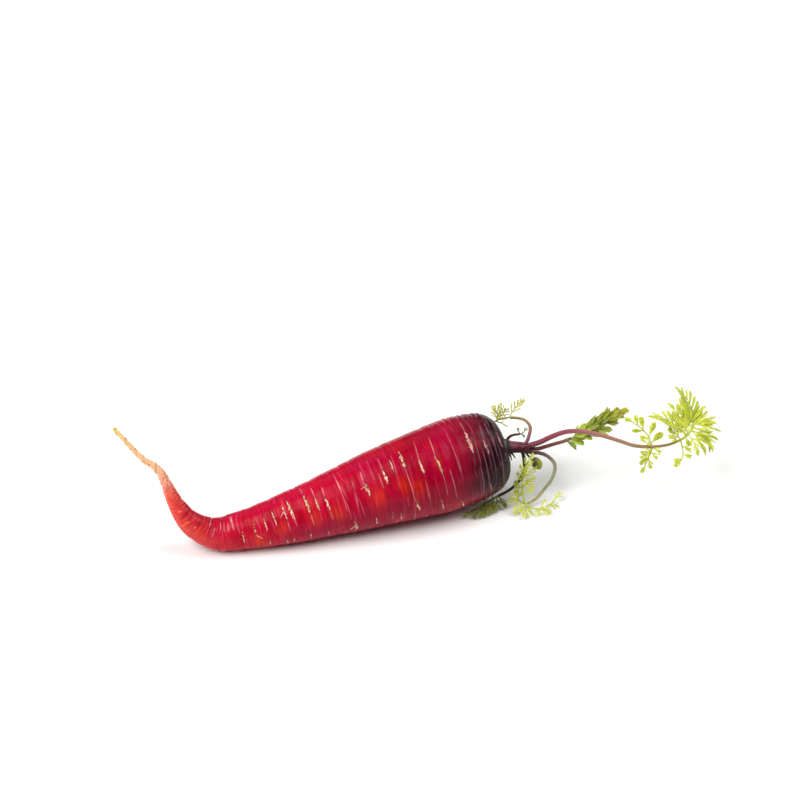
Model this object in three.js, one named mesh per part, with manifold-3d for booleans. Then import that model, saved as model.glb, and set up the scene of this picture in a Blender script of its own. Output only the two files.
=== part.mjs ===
// A red-purple carrot as pulled: one tap root with a kinked, lifted tail, and its tuft of young leaves.
// Millimetres, +Z up. The root lies along X with its crown towards +X. The origin is on the surface
// that the carrot lies on, in the middle of the root's small flat underside.

import * as THREE from 'three';
import { mergeVertices } from 'three/addons/utils/BufferGeometryUtils.js';
import Module from 'manifold-3d';

const wasm = await Module();
wasm.setup();

// ---- Driving dimensions ----

const SHOULDER_RADIUS = 21.5; // widest part of the root
const TAIL_TIP_RADIUS = 0.95;
const CREASE_DEPTH = 0.3; // growth creases pressed into the skin
const CREASE_HALF_WIDTH = 0.9;
const CREASE_PITCH = 7.2; // mean distance from one crease to the next
const CREASE_WANDER = 0.33; // how much that distance varies, as a share of it
const CREASE_FREE_TAIL = 46.5; // the thin tail has no creases
const CREASE_FREE_CROWN = 14;
const BLADE_THICKNESS = 0.65;
const RIB_HALF_WIDTH = 0.45; // what is left of a leaflet between two cuts
const LEAFLET_TIP_HALF_WIDTH = 0.22;
const FIRST_LOBE = 0.13; // where a leaflet's lobes begin and end, as shares of its length
const LAST_LOBE = 0.84;
const LOBE_SHORTENING = 0.6; // how much shorter the lobes at the tip are than those at the foot
const LOBE_LEAN = 1.05; // how far a lobe leans towards the tip, per unit of its reach
const LOBE_FOOT_SHARE = 0.66; // a lobe's foot, as a share of the distance to the next lobe
const LEAFLET_BOW = 0.08; // how far its middle is arched out, as a share of its length
const LEAFLET_LIFT = 0.22; // how far its halves are lifted, per millimetre from the rib
const LEAF_CLEARANCE = 0.05; // a leaflet that would dip into the surface lies this far above it
const RACHIS_RADIUS = 0.55;
const SLIVER = 0.06; // detail finer than this is closed up where two solids cross

const ROOT_SIDES = 24;
const MIN_RING_STEP = 1.3; // the root's rings stand no closer than this along its axis
const STALK_SIDES = 7;
const RACHIS_SIDES = 6;
const RACHIS_STEP = 3; // from one ring of a rachis to the next
const STALK_STEP = 3.2;

const COLOURS = {
  root: 0xa8152c,
  leafBases: 0x4a2030,
  purpleStalk: 0x84384a,
  tanStalk: 0x8f7048,
  darkStalk: 0x3c2424,
  paleLeaf: 0xc4d43c,
  greenLeaf: 0x8aa02a,
  oliveLeaf: 0x5c6e24,
};

// ---- Shared shapes ----

const vector = ([x, y, z]) => new THREE.Vector3(x, y, z);

// A smooth line through the given points.
const routeThrough = (points) => new THREE.CatmullRomCurve3(points.map(vector), false, 'centripetal');

// The cross-section's level axis and raised axis where a route has the given tangent.
function crossAxes(tangent) {
  const across = new THREE.Vector3(0, 0, 1).cross(tangent).normalize();
  const raised = tangent.clone().cross(across);
  return { across, raised };
}

function standardMesh(name, geometry, colour, roughness) {
  const material = new THREE.MeshStandardMaterial({ color: colour, roughness, metalness: 0 });
  const mesh = new THREE.Mesh(geometry, material);
  mesh.name = name;
  return mesh;
}

function solidFrom(geometry) {
  geometry.deleteAttribute('normal');
  geometry.deleteAttribute('uv');
  const merged = mergeVertices(geometry, 1e-4);
  const vertProperties = new Float32Array(merged.attributes.position.array);
  const triVerts = new Uint32Array(merged.index.array);
  return new wasm.Manifold(new wasm.Mesh({ numProp: 3, vertProperties, triVerts }));
}

function geometryFrom(solid) {
  const { vertProperties, triVerts } = solid.getMesh();
  const geometry = new THREE.BufferGeometry();
  geometry.setAttribute('position', new THREE.BufferAttribute(new Float32Array(vertProperties), 3));
  geometry.setIndex(new THREE.BufferAttribute(new Uint32Array(triVerts), 1));
  geometry.computeVertexNormals();
  return geometry;
}

// Joins solids into one body.
const fused = (solids) => solids.reduce((whole, solid) => whole.add(solid)).simplify(SLIVER);

// A turned profile whose axis is laid along a route. Each station is [fraction of the route, radius].
// It is turned half a side round, so that its underside is the flat of a side and not an edge.
// reshape, where given, moves a finished surface point.
function bentLathe(route, stations, sides, reshape = (point) => point) {
  const profile = [new THREE.Vector2(0, stations[0][0])];
  stations.forEach(([fraction, radius]) => profile.push(new THREE.Vector2(radius, fraction)));
  profile.push(new THREE.Vector2(0, stations.at(-1)[0]));
  const geometry = new THREE.LatheGeometry(profile, sides, Math.PI / sides);
  const position = geometry.attributes.position;
  for (let index = 0; index < position.count; index += 1) {
    const fraction = THREE.MathUtils.clamp(position.getY(index), 0, 1);
    const { across, raised } = crossAxes(route.getTangentAt(fraction));
    const point = route.getPointAt(fraction);
    point.addScaledVector(raised, position.getX(index));
    point.addScaledVector(across, position.getZ(index));
    const { x, y, z } = reshape(point, fraction);
    position.setXYZ(index, x, y, z);
  }
  return geometry;
}

// A leaf stalk: round, tapering evenly from foot to end, with its two ends a little rounded off.
function stalkGeometry(points, footRadius, endRadius, rings, sides = STALK_SIDES) {
  const route = routeThrough(points);
  const stations = [];
  for (let ring = 0; ring <= rings; ring += 1) {
    const fraction = ring / rings;
    const atEnd = ring === 0 || ring === rings;
    const radius = THREE.MathUtils.lerp(footRadius, endRadius, fraction);
    stations.push([fraction, atEnd ? radius * 0.7 : radius]);
  }
  return bentLathe(route, stations, sides);
}

// The outline of one leaflet along +X, cut almost to its rib into pairs of forward-pointing lobes.
// The lobes are longest a third of the way along and shorten towards the tip.
function leafletShape(length, width, lobePairs) {
  const first = length * FIRST_LOBE;
  const step = (length * LAST_LOBE - first) / lobePairs;
  const side = [];
  for (let pair = 0; pair < lobePairs; pair += 1) {
    const along = (pair + 0.5) / lobePairs;
    const reach = (width / 2) * (1 - LOBE_SHORTENING * along ** 1.4);
    const start = first + pair * step;
    side.push([start, RIB_HALF_WIDTH]);
    side.push([start + reach * LOBE_LEAN, RIB_HALF_WIDTH + reach]);
    side.push([start + step * LOBE_FOOT_SHARE, RIB_HALF_WIDTH]);
  }
  side.push([first + lobePairs * step, RIB_HALF_WIDTH]);
  const tip = [[length, LEAFLET_TIP_HALF_WIDTH]];
  const rightSide = [...side, ...tip].map(([along, out]) => [along, -out]);
  const leftSide = [...side, ...tip].reverse();
  const foot = [[0, RIB_HALF_WIDTH], [0, -RIB_HALF_WIDTH]];
  const outline = [...rightSide, ...leftSide, ...foot];
  return new THREE.Shape(outline.map(([x, y]) => new THREE.Vector2(x, y)));
}

// One leaflet from its foot to its tip. Its face looks towards `facing`, its middle is bowed out that
// way by LEAFLET_BOW of its length, and its halves are lifted a little from the rib like an open book.
// `sweep` is how far its middle is bent to the left, seen from its face, as a share of its length.
function leafletSolid({ foot, tip, facing, width, lobePairs, sweep }) {
  const along = tip.clone().sub(foot);
  const length = along.length();
  along.normalize();
  const across = facing.clone().cross(along).normalize();
  const outward = along.clone().cross(across);
  const shape = leafletShape(length, width, lobePairs);
  const geometry = new THREE.ExtrudeGeometry(shape, { depth: BLADE_THICKNESS, bevelEnabled: false });
  const position = geometry.attributes.position;
  for (let index = 0; index < position.count; index += 1) {
    const t = position.getX(index) / length;
    const arch = 4 * length * t * (1 - t);
    const rise = LEAFLET_BOW * arch + LEAFLET_LIFT * Math.abs(position.getY(index));
    const point = foot.clone();
    point.addScaledVector(along, position.getX(index));
    point.addScaledVector(across, position.getY(index) + sweep * arch);
    point.addScaledVector(outward, position.getZ(index) - BLADE_THICKNESS / 2 + rise);
    point.z = Math.max(point.z, LEAF_CLEARANCE);
    position.setXYZ(index, point.x, point.y, point.z);
  }
  return solidFrom(geometry);
}

// A rachis with its leaflets, fused into one body. Each leaflet is
// [fraction of the rachis, tip [x, y, z], width, pairs of lobes, sweep where it is bent].
function frondSolids(rachisPoints, leaflets, facing, endRadius = 0.4) {
  const route = routeThrough(rachisPoints);
  const rings = Math.ceil(route.getLength() / RACHIS_STEP);
  const solids = [solidFrom(stalkGeometry(rachisPoints, RACHIS_RADIUS, endRadius, rings, RACHIS_SIDES))];
  leaflets.forEach(([fraction, tip, width, lobePairs, sweep = 0]) => {
    const foot = route.getPointAt(fraction);
    solids.push(leafletSolid({ foot, tip: vector(tip), facing: vector(facing), width, lobePairs, sweep }));
  });
  return solids;
}

const frondGeometry = (...frondSpec) => geometryFrom(fused(frondSolids(...frondSpec)));

// ---- Root ----
// The axis is nearly straight along X. Behind the belly it turns sideways and rises off the surface.

const ROOT_AXIS = [
  // x, y, z of the axis, and the radius there, from the tip of the tail to the crown
  [-139.5, 38.1, 56.5, TAIL_TIP_RADIUS],
  [-135.8, 34.8, 51.5, 1.1],
  [-132.0, 31.6, 46.0, 1.25],
  [-128.6, 28.9, 41.8, 1.4],
  [-125.2, 27.2, 39.0, 1.65],
  [-122.4, 25.3, 35.8, 1.95],
  [-120.9, 23.0, 32.0, 2.3],
  [-119.8, 21.0, 28.0, 2.8],
  [-118.6, 18.7, 23.8, 3.4],
  [-116.9, 15.8, 19.5, 4.2],
  [-114.3, 12.2, 15.0, 5.2],
  [-110.2, 9.2, 11.2, 6.2],
  [-105.2, 7.0, 8.6, 7.1],
  [-99.9, 5.2, 7.5, 7.95],
  [-94.0, 3.9, 8.2, 8.7],
  [-87.0, 2.8, 8.9, 9.4],
  [-79.8, 1.9, 9.9, 10.4],
  [-72.5, 1.2, 11.0, 11.5],
  [-55.6, 0.5, 13.2, 13.7],
  [-36.0, 0.3, 16.0, 16.6],
  [-16.2, 0.3, 18.5, 19.1],
  [3.9, 0.4, 20.5, 21.1],
  [12.0, 0.6, 21.5, SHOULDER_RADIUS],
  [19.2, 0.8, 22.3, 21.2],
  [25.6, 0.9, 22.9, 20.4],
  [30.4, 0.9, 23.3, 19.3],
  [38.8, 0.9, 24.0, 0],
];

// The crown: how far past the last full-width station, and the radius there.
const CROWN_START = 30.4;
const CROWN_PROFILE = [
  [1.6, 18.5],
  [3.0, 17.5],
  [4.6, 16.1],
  [5.7, 14.7],
  [6.4, 13.4],
  [7.0, 11.2],
  [7.4, 8.4],
  [7.7, 5.6],
];

const rootRoute = routeThrough(ROOT_AXIS);
const rootLength = rootRoute.getLength();

// The fraction of the root's axis at a given x, found by halving. The axis never turns back in x.
function rootFractionAt(x) {
  let low = 0;
  let high = 1;
  for (let halving = 0; halving < 30; halving += 1) {
    const middle = (low + high) / 2;
    if (rootRoute.getPointAt(middle).x < x) {
      low = middle;
    } else {
      high = middle;
    }
  }
  return (low + high) / 2;
}

const radiusMarks = ROOT_AXIS.slice(0, -1).map(([x, , , radius]) => [rootFractionAt(x), radius]);
CROWN_PROFILE.forEach(([past, radius]) => {
  radiusMarks.push([rootFractionAt(CROWN_START + past), radius]);
});

// The root's radius at a fraction of its axis, on straight lines between the marks.
function rootRadiusAt(fraction) {
  const next = radiusMarks.findIndex(([mark]) => mark >= fraction);
  if (next <= 0) {
    return radiusMarks.at(next)[1];
  }
  const [lowMark, lowRadius] = radiusMarks[next - 1];
  const [highMark, highRadius] = radiusMarks[next];
  return THREE.MathUtils.mapLinear(fraction, lowMark, highMark, lowRadius, highRadius);
}

// The growth creases, in millimetres from the tip of the tail. Each is deepest on a side of its own.
const CREASES = [];
for (let along = CREASE_FREE_TAIL; along < rootLength - CREASE_FREE_CROWN;) {
  const wander = 1 + CREASE_WANDER * Math.sin(CREASES.length * 2.4);
  CREASES.push({ along, deepestSide: CREASES.length * 2.1 });
  along += CREASE_PITCH * wander;
}

// Each crease is deepest on one side of the root and fades to nothing on the other.
function creaseDepthAt(along, angle) {
  return CREASES.reduce((depth, crease) => {
    const off = (along - crease.along) / CREASE_HALF_WIDTH;
    const share = 0.5 + 0.5 * Math.cos(angle - crease.deepestSide);
    return depth + CREASE_DEPTH * share * Math.exp(-off * off);
  }, 0);
}

function rootGeometry() {
  const places = radiusMarks.map(([mark]) => mark * rootLength);
  CREASES.forEach(({ along }) => {
    places.push(along - 2 * CREASE_HALF_WIDTH, along, along + 2 * CREASE_HALF_WIDTH);
  });
  places.sort((a, b) => a - b);
  const spaced = places.filter((place, index) => index === 0 || place - places[index - 1] > MIN_RING_STEP);
  const stations = spaced.map((place) => [place / rootLength, rootRadiusAt(place / rootLength)]);
  const pressed = (point, fraction) => {
    const { across, raised } = crossAxes(rootRoute.getTangentAt(fraction));
    const axisPoint = rootRoute.getPointAt(fraction);
    const outward = point.clone().sub(axisPoint);
    const radius = outward.length();
    if (radius > 0) {
      const angle = Math.atan2(outward.dot(raised), outward.dot(across));
      const depth = creaseDepthAt(fraction * rootLength, angle);
      point.addScaledVector(outward, -depth / radius);
    }
    point.z = Math.max(point.z, 0);
    return point;
  };
  return bentLathe(rootRoute, stations, ROOT_SIDES, pressed);
}

// ---- Leaf bases ----
// The feet of all the leaves clasp each other in a short neck. Around its foot stand the dry stubs of
// leaves that have dropped.

const NECK_AXIS = [
  [39.4, 0.6, 24.1],
  [41.0, -0.2, 24.3],
  [43.2, -1.2, 24.3],
  [45.8, -2.1, 24.1],
  [48.4, -2.8, 23.9],
  [50.1, -3.2, 23.8],
];
const NECK_STATIONS = [
  [0, 3.9], [0.1, 3.7], [0.2, 3.2], [0.35, 2.9], [0.55, 2.85], [0.75, 2.65], [0.92, 2.4], [1, 1.8],
];
const NECK_FLUTE = 0.09; // how far the grooves between clasped bases cut in, as a share of the radius

const STUBS = [
  // foot and tip of each dry stub
  [[40.8, -1.6, 22.8], [42.4, -4.6, 20.8]],
  [[40.4, -1.0, 22.2], [41.2, -3.4, 18.8]],
  [[40.4, 1.6, 23.6], [41.6, 5.2, 22.6]],
];

function leafBasesGeometry() {
  const route = routeThrough(NECK_AXIS);
  const fluted = (point, fraction) => {
    const { across, raised } = crossAxes(route.getTangentAt(fraction));
    const outward = point.clone().sub(route.getPointAt(fraction));
    const angle = Math.atan2(outward.dot(raised), outward.dot(across));
    return point.addScaledVector(outward, -NECK_FLUTE * (0.5 + 0.5 * Math.cos(5 * angle)));
  };
  const solids = [solidFrom(bentLathe(route, NECK_STATIONS, 20, fluted))];
  STUBS.forEach(([foot, tip]) => {
    const middle = vector(foot).lerp(vector(tip), 0.5).toArray();
    solids.push(solidFrom(stalkGeometry([foot, middle, tip], 0.9, 0.4, 3, RACHIS_SIDES)));
  });
  return geometryFrom(fused(solids));
}

// ---- Leaf 1: the longest, arching to a lacy head that faces up ----

const LEAF_1_STALK = [
  [50.7, -3.5, 25.3],
  [54.9, -4.8, 27.0],
  [60.5, -5.7, 29.5],
  [66.7, -6.7, 31.3],
  [72.1, -8.6, 31.8],
  [77.5, -11.4, 31.5],
  [83.2, -14.9, 30.5],
  [89.9, -18.7, 28.5],
  [95.6, -22.4, 27.0],
  [101.8, -25.1, 26.5],
];
const LEAF_1_RACHIS = [
  [102.4, -25.4, 26.5],
  [108.9, -27.3, 27.0],
  [113.2, -28.4, 28.2],
  [116.8, -28.8, 29.6],
  [119.2, -28.8, 30.8],
  [121.6, -28.1, 32.1],
  [123.5, -26.9, 33.7],
  [124.8, -25.9, 35.2],
  [126.5, -25.4, 36.1],
];
const LEAF_1_HEAD_FACING = [-0.1, -0.62, 0.78];
const LEAF_1_HEAD = [
  [0.51, [111.3, -26.6, 31.3], 4, 2],
  [0.55, [112.1, -24.3, 34.5], 6, 3],
  [0.64, [119.3, -32.9, 28.0], 3, 1],
  [0.65, [103.8, -18.0, 39.1], 8, 6, -0.12],
  [0.67, [111.3, -19.9, 35.3], 5, 3],
  [0.7, [121.6, -38.4, 25.8], 5, 3],
  [0.71, [115.7, -14.9, 41.8], 6.5, 4],
  [0.77, [123.6, -16.2, 39.8], 6, 4],
  [0.78, [128.5, -37.1, 25.1], 9, 5, 0.18],
  [0.79, [120.8, -10.6, 47.1], 9, 6, -0.15],
  [0.83, [132.1, -30.1, 30.5], 4, 2],
  [0.87, [129.5, -18.8, 39.8], 6, 3],
  [0.9, [136.0, -32.4, 31.8], 5, 3],
  [0.9, [135.2, -28.3, 34.2], 4.5, 2],
  [0.91, [136.2, -25.1, 35.6], 6, 3],
  [0.97, [132.6, -20.5, 39.5], 4, 2],
];
const HANGING_RACHIS = [[116.6, -28.7, 29.4], [116.7, -31.0, 26.5], [115.8, -34.0, 24.1], [114.2, -35.6, 22.6]];
const HANGING = [
  [0.3, [119.9, -33.0, 25.3], 4, 2],
  [0.7, [118.9, -35.9, 23.6], 4, 2],
  [0.9, [111.4, -34.4, 22.5], 3.5, 1],
  [0.98, [110.5, -36.7, 21.2], 3, 1],
];
const PAIR_FACING = [-0.1, -0.35, 0.93];
const PAIR_UP_RACHIS = [[103.6, -25.4, 26.6], [103.3, -21.2, 29.7], [101.4, -18.1, 32.1], [98.6, -14.0, 33.8]];
const PAIR_UP = [
  [0.1, [110.5, -21.5, 30.5], 4.5, 2],
  [0.33, [108.0, -17.5, 34.5], 3.5, 2],
  [0.6, [102.0, -14.0, 36.5], 3.5, 2],
  [0.82, [100.0, -11.5, 36.0], 3, 1],
  [0.98, [96.0, -10.5, 34.5], 3.5, 1],
  [0.25, [99.5, -20.0, 29.0], 3, 1],
  [0.56, [96.5, -17.0, 31.0], 3, 1],
];
const PAIR_DOWN_RACHIS = [[103.6, -26.0, 26.4], [101.7, -27.7, 24.1], [100.4, -28.6, 22.2], [98.4, -29.9, 20.0]];
const PAIR_DOWN = [
  [0.02, [97.5, -24.5, 31.5], 3.5, 2],
  [0.1, [96.5, -28.0, 26.5], 3.5, 2],
  [0.22, [96.5, -28.5, 23.5], 3.5, 2],
  [0.04, [106.0, -29.5, 25.0], 4, 1],
  [0.26, [104.0, -30.5, 22.5], 3, 1],
  [0.62, [100.5, -32.0, 19.0], 3, 1],
  [0.98, [96.0, -31.5, 17.5], 3, 1],
];

// ---- Leaf 2: a half folded frond beside it ----

const LEAF_2_STALK = [
  [50.9, -2.4, 22.3],
  [53.9, -4.2, 22.7],
  [58.2, -4.6, 23.2],
  [62.7, -4.3, 23.3],
  [67.3, -3.7, 23.0],
  [70.2, -3.0, 22.8],
];
const LEAF_2_RACHIS = [
  [70.9, -2.8, 22.8],
  [76.9, -2.1, 23.4],
  [83.6, -1.0, 24.2],
  [90.2, 1.0, 25.7],
  [95.6, 2.7, 27.0],
  [99.9, 3.0, 27.2],
];
const LEAF_2_FACING = [0, -0.6, 0.8];
const LEAF_2_BLADE = [
  [0.04, [73.5, -6.5, 18.5], 5, 2],
  [0.1, [80.5, -2.5, 18.0], 6, 3],
  [0.1, [79.5, -1.0, 28.0], 6, 3],
  [0.27, [88.5, -1.5, 20.5], 6.5, 3],
  [0.27, [86.5, 0.0, 30.0], 6.5, 3],
  [0.43, [93.5, -1.0, 21.0], 6.5, 3],
  [0.45, [93.5, 2.0, 32.0], 6.5, 3],
  [0.64, [98.0, 1.5, 22.5], 5, 3],
  [0.66, [98.5, 2.5, 31.0], 5, 3],
  [0.85, [101.5, 2.5, 24.0], 4, 2],
  [0.98, [104.5, 2.5, 27.0], 4, 1],
];

// ---- Leaf 3: loops up and back behind the shoulder ----

const LEAF_3_STALK = [
  [48.9, -2.5, 26.9],
  [51.3, 0.0, 29.0],
  [52.6, 2.0, 31.0],
  [52.3, 3.8, 32.5],
  [50.7, 6.7, 33.3],
  [47.4, 9.4, 33.1],
];
const LEAF_3_RACHIS = [
  [46.7, 9.9, 32.9],
  [44.8, 11.1, 32.6],
  [42.9, 12.7, 31.4],
  [41.2, 14.7, 29.5],
  [40.0, 16.9, 27.0],
  [39.6, 18.9, 24.5],
];
const LEAF_3_FACING = [0.1, -0.3, 0.95];
const LEAF_3_BLADE = [
  [0.12, [57.5, 21.5, 33.0], 6, 4],
  [0.25, [45.5, 22.5, 33.0], 4.5, 3],
  [0.42, [42.5, 25.5, 30.0], 5, 4],
  [0.55, [50.5, 23.5, 27.5], 4.5, 3],
  [0.6, [41.5, 25.0, 26.5], 4.5, 3],
  [0.7, [45.5, 12.5, 26.0], 3.5, 1],
  [0.8, [48.5, 22.5, 23.0], 4.5, 2],
  [0.98, [41.0, 24.0, 21.0], 4, 2],
];

// ---- Leaf 4: a tiny new leaf on the crown ----

const LEAF_4_STALK = [[41.8, 3.1, 26.9], [43.2, 3.2, 27.9], [45.0, 3.1, 28.2], [46.6, 2.9, 28.1]];
const LEAF_4_RACHIS = [[47.1, 3.0, 28.2], [48.0, 2.7, 28.1], [49.0, 2.8, 28.2]];
const LEAF_4_FACING = [0, -0.3, 0.95];
const LEAF_4_BLADE = [
  [0.2, [47.2, 5.4, 30.0], 2, 1],
  [0.45, [49.2, 0.3, 27.4], 2, 1],
  [0.9, [52.0, 4.6, 29.4], 2.6, 1],
];

// ---- Leaf 5: arches down to the surface in front ----

const LEAF_5_STALK = [
  [50.6, -5.1, 22.0],
  [54.2, -6.3, 21.6],
  [57.6, -7.8, 20.0],
  [60.2, -10.5, 17.0],
  [59.7, -12.6, 14.5],
  [56.9, -14.8, 10.5],
  [52.9, -16.0, 7.0],
  [49.5, -17.3, 4.6],
  [47.0, -17.9, 3.5],
  [45.4, -18.1, 3.1],
];
const LEAF_5_RACHIS = [
  [44.8, -18.1, 2.9],
  [43.2, -17.9, 2.6],
  [42.2, -17.0, 2.5],
  [41.3, -15.9, 2.7],
  [40.2, -14.8, 3.4],
];
const LEAF_5_FACING = [-0.25, -0.5, 0.83];
const LEAF_5_BLADE = [
  [0.5, [49.5, -9.5, 25.5], 9, 6],
  [0.98, [38.9, -13.2, 13.0], 4, 3],
  [0.9, [34.5, -15.5, 4.5], 4.5, 2],
  [0.6, [36.0, -21.5, 1.2], 5.5, 3],
  [0.35, [40.5, -26.0, 1.0], 6.5, 3],
  [0.95, [35.5, -15.5, 9.0], 3.5, 2],
];
const LEAF_5_SIDE_RACHIS = [
  [43.4, -18.0, 2.5],
  [45.0, -21.0, 1.8],
  [48.5, -22.3, 1.5],
  [53.0, -21.8, 1.6],
  [57.0, -19.8, 2.2],
];
const LEAF_5_SIDE_BLADE = [
  [0.3, [46.5, -26.5, 1.0], 4, 2],
  [0.45, [52.0, -26.5, 1.0], 4, 3],
  [0.5, [53.0, -18.5, 2.6], 3, 1],
  [0.7, [57.5, -23.5, 1.3], 4, 2],
  [0.98, [61.0, -17.5, 4.0], 4, 2],
];

// ---- Leaf 6: dark, down from the neck to lie on the surface under the shoulder ----

const LEAF_6_STALK = [
  [46.8, -4.0, 21.0],
  [46.8, -5.7, 17.5],
  [46.0, -7.5, 14.3],
  [44.2, -8.6, 10.8],
  [40.2, -9.4, 7.2],
  [37.3, -9.3, 5.3],
  [33.8, -9.1, 3.8],
];
const LEAF_6_RACHIS = [
  [33.0, -9.1, 3.6],
  [29.8, -9.5, 2.8],
  [25.5, -10.6, 2.1],
  [21.1, -11.6, 1.7],
  [17.2, -12.8, 1.4],
];
const LEAF_6_FACING = [0, -0.2, 0.98];
const LEAF_6_BLADE = [
  [0.04, [33.5, -15.5, 1.3], 4.5, 3],
  [0.18, [27.5, -17.5, 0.9], 5, 3],
  [0.34, [23.0, -18.5, 0.9], 5, 3],
  [0.5, [19.0, -18.5, 0.9], 5, 3],
  [0.7, [16.0, -17.5, 0.9], 4.5, 3],
  [0.98, [13.0, -15.5, 0.9], 4, 2],
  [0.2, [30.5, -4.0, 1.6], 3.5, 2],
];

// ---- Young leaf ----
// Not open yet: its leaflets are still folded on each other in a pleated oval on a short thin stalk.

const YOUNG_LEAF_STALK = [[48.6, -4.5, 21.0], [49.6, -5.4, 19.6], [51.5, -6.5, 17.4]];
const YOUNG_LEAF_AXIS = [[51.3, -6.4, 17.8], [51.9, -6.9, 16.8], [52.8, -8.0, 15.0], [53.3, -8.7, 13.8]];
const YOUNG_LEAF_STATIONS = [[0, 0.5], [0.15, 1.3], [0.4, 1.95], [0.65, 1.8], [0.88, 1.1], [1, 0.4]];
const YOUNG_LEAF_PLEAT = 0.12;

function youngLeafGeometry() {
  const route = routeThrough(YOUNG_LEAF_AXIS);
  const pleated = (point, fraction) => {
    const { across, raised } = crossAxes(route.getTangentAt(fraction));
    const outward = point.clone().sub(route.getPointAt(fraction));
    const angle = Math.atan2(outward.dot(raised), outward.dot(across));
    return point.addScaledVector(outward, -YOUNG_LEAF_PLEAT * (0.5 + 0.5 * Math.cos(6 * angle)));
  };
  const stalk = solidFrom(stalkGeometry(YOUNG_LEAF_STALK, 0.5, 0.45, 4, RACHIS_SIDES));
  const leaf = solidFrom(bentLathe(route, YOUNG_LEAF_STATIONS, 18, pleated));
  return geometryFrom(stalk.add(leaf));
}

// ---- The carrot ----

const carrot = new THREE.Group();
carrot.add(standardMesh('root', geometryFrom(solidFrom(rootGeometry())), COLOURS.root, 0.45));
carrot.add(standardMesh('leaf_bases', leafBasesGeometry(), COLOURS.leafBases, 0.6));

const leaf1Blade = fused([
  ...frondSolids(LEAF_1_RACHIS, LEAF_1_HEAD, LEAF_1_HEAD_FACING),
  ...frondSolids(HANGING_RACHIS, HANGING, LEAF_1_HEAD_FACING, 0.35),
  ...frondSolids(PAIR_UP_RACHIS, PAIR_UP, PAIR_FACING, 0.35),
  ...frondSolids(PAIR_DOWN_RACHIS, PAIR_DOWN, PAIR_FACING, 0.35),
]);

const leaf5Blade = fused([
  ...frondSolids(LEAF_5_RACHIS, LEAF_5_BLADE, LEAF_5_FACING),
  ...frondSolids(LEAF_5_SIDE_RACHIS, LEAF_5_SIDE_BLADE, LEAF_5_FACING, 0.35),
]);

const stalks = [
  ['leaf_1_stalk', LEAF_1_STALK, 1.25, 0.8, COLOURS.purpleStalk],
  ['leaf_2_stalk', LEAF_2_STALK, 0.95, 0.8, COLOURS.purpleStalk],
  ['leaf_3_stalk', LEAF_3_STALK, 0.8, 0.65, COLOURS.purpleStalk],
  ['leaf_4_stalk', LEAF_4_STALK, 0.7, 0.55, COLOURS.purpleStalk],
  ['leaf_5_stalk', LEAF_5_STALK, 0.85, 0.7, COLOURS.tanStalk],
  ['leaf_6_stalk', LEAF_6_STALK, 0.8, 0.65, COLOURS.darkStalk],
];
stalks.forEach(([name, points, footRadius, endRadius, colour]) => {
  const rings = Math.ceil(routeThrough(points).getLength() / STALK_STEP);
  const solid = solidFrom(stalkGeometry(points, footRadius, endRadius, rings));
  carrot.add(standardMesh(name, geometryFrom(solid), colour, 0.5));
});

const blades = [
  ['leaf_1_blade', geometryFrom(leaf1Blade), COLOURS.paleLeaf],
  ['leaf_2_blade', frondGeometry(LEAF_2_RACHIS, LEAF_2_BLADE, LEAF_2_FACING), COLOURS.greenLeaf],
  ['leaf_3_blade', frondGeometry(LEAF_3_RACHIS, LEAF_3_BLADE, LEAF_3_FACING), COLOURS.paleLeaf],
  ['leaf_4_blade', frondGeometry(LEAF_4_RACHIS, LEAF_4_BLADE, LEAF_4_FACING), COLOURS.oliveLeaf],
  ['leaf_5_blade', geometryFrom(leaf5Blade), COLOURS.paleLeaf],
  ['leaf_6_blade', frondGeometry(LEAF_6_RACHIS, LEAF_6_BLADE, LEAF_6_FACING), COLOURS.oliveLeaf],
  ['young_leaf', youngLeafGeometry(), COLOURS.greenLeaf],
];
blades.forEach(([name, geometry, colour]) => {
  carrot.add(standardMesh(name, geometry, colour, 0.6));
});

export default carrot;
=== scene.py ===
"""A red-purple carrot with its tuft of young leaves, lying on its side.

The scene is in metres, with +Z up and +X from the tail to the crown. Shapes are worked out in
millimetres and turned to metres as they become meshes.
"""

import bpy
import numpy as np
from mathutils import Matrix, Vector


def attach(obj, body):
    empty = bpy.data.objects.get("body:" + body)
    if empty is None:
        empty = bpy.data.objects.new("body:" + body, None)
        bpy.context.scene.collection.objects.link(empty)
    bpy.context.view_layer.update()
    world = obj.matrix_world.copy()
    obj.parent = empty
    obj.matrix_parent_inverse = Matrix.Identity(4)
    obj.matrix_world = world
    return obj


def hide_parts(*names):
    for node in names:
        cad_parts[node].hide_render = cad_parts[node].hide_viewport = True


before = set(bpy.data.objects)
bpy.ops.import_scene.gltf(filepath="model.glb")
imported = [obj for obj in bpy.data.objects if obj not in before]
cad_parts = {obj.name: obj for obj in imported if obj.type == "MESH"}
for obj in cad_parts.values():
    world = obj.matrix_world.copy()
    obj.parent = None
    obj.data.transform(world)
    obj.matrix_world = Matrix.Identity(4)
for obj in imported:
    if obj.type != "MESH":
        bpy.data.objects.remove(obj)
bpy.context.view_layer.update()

# ---- Root ----
# The carrot's swollen tap root: crisp, watery flesh under a thin smooth skin. It grew as one piece.
# Rings of fine creases run round it, with corky scars in rows where side roots broke through.

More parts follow.
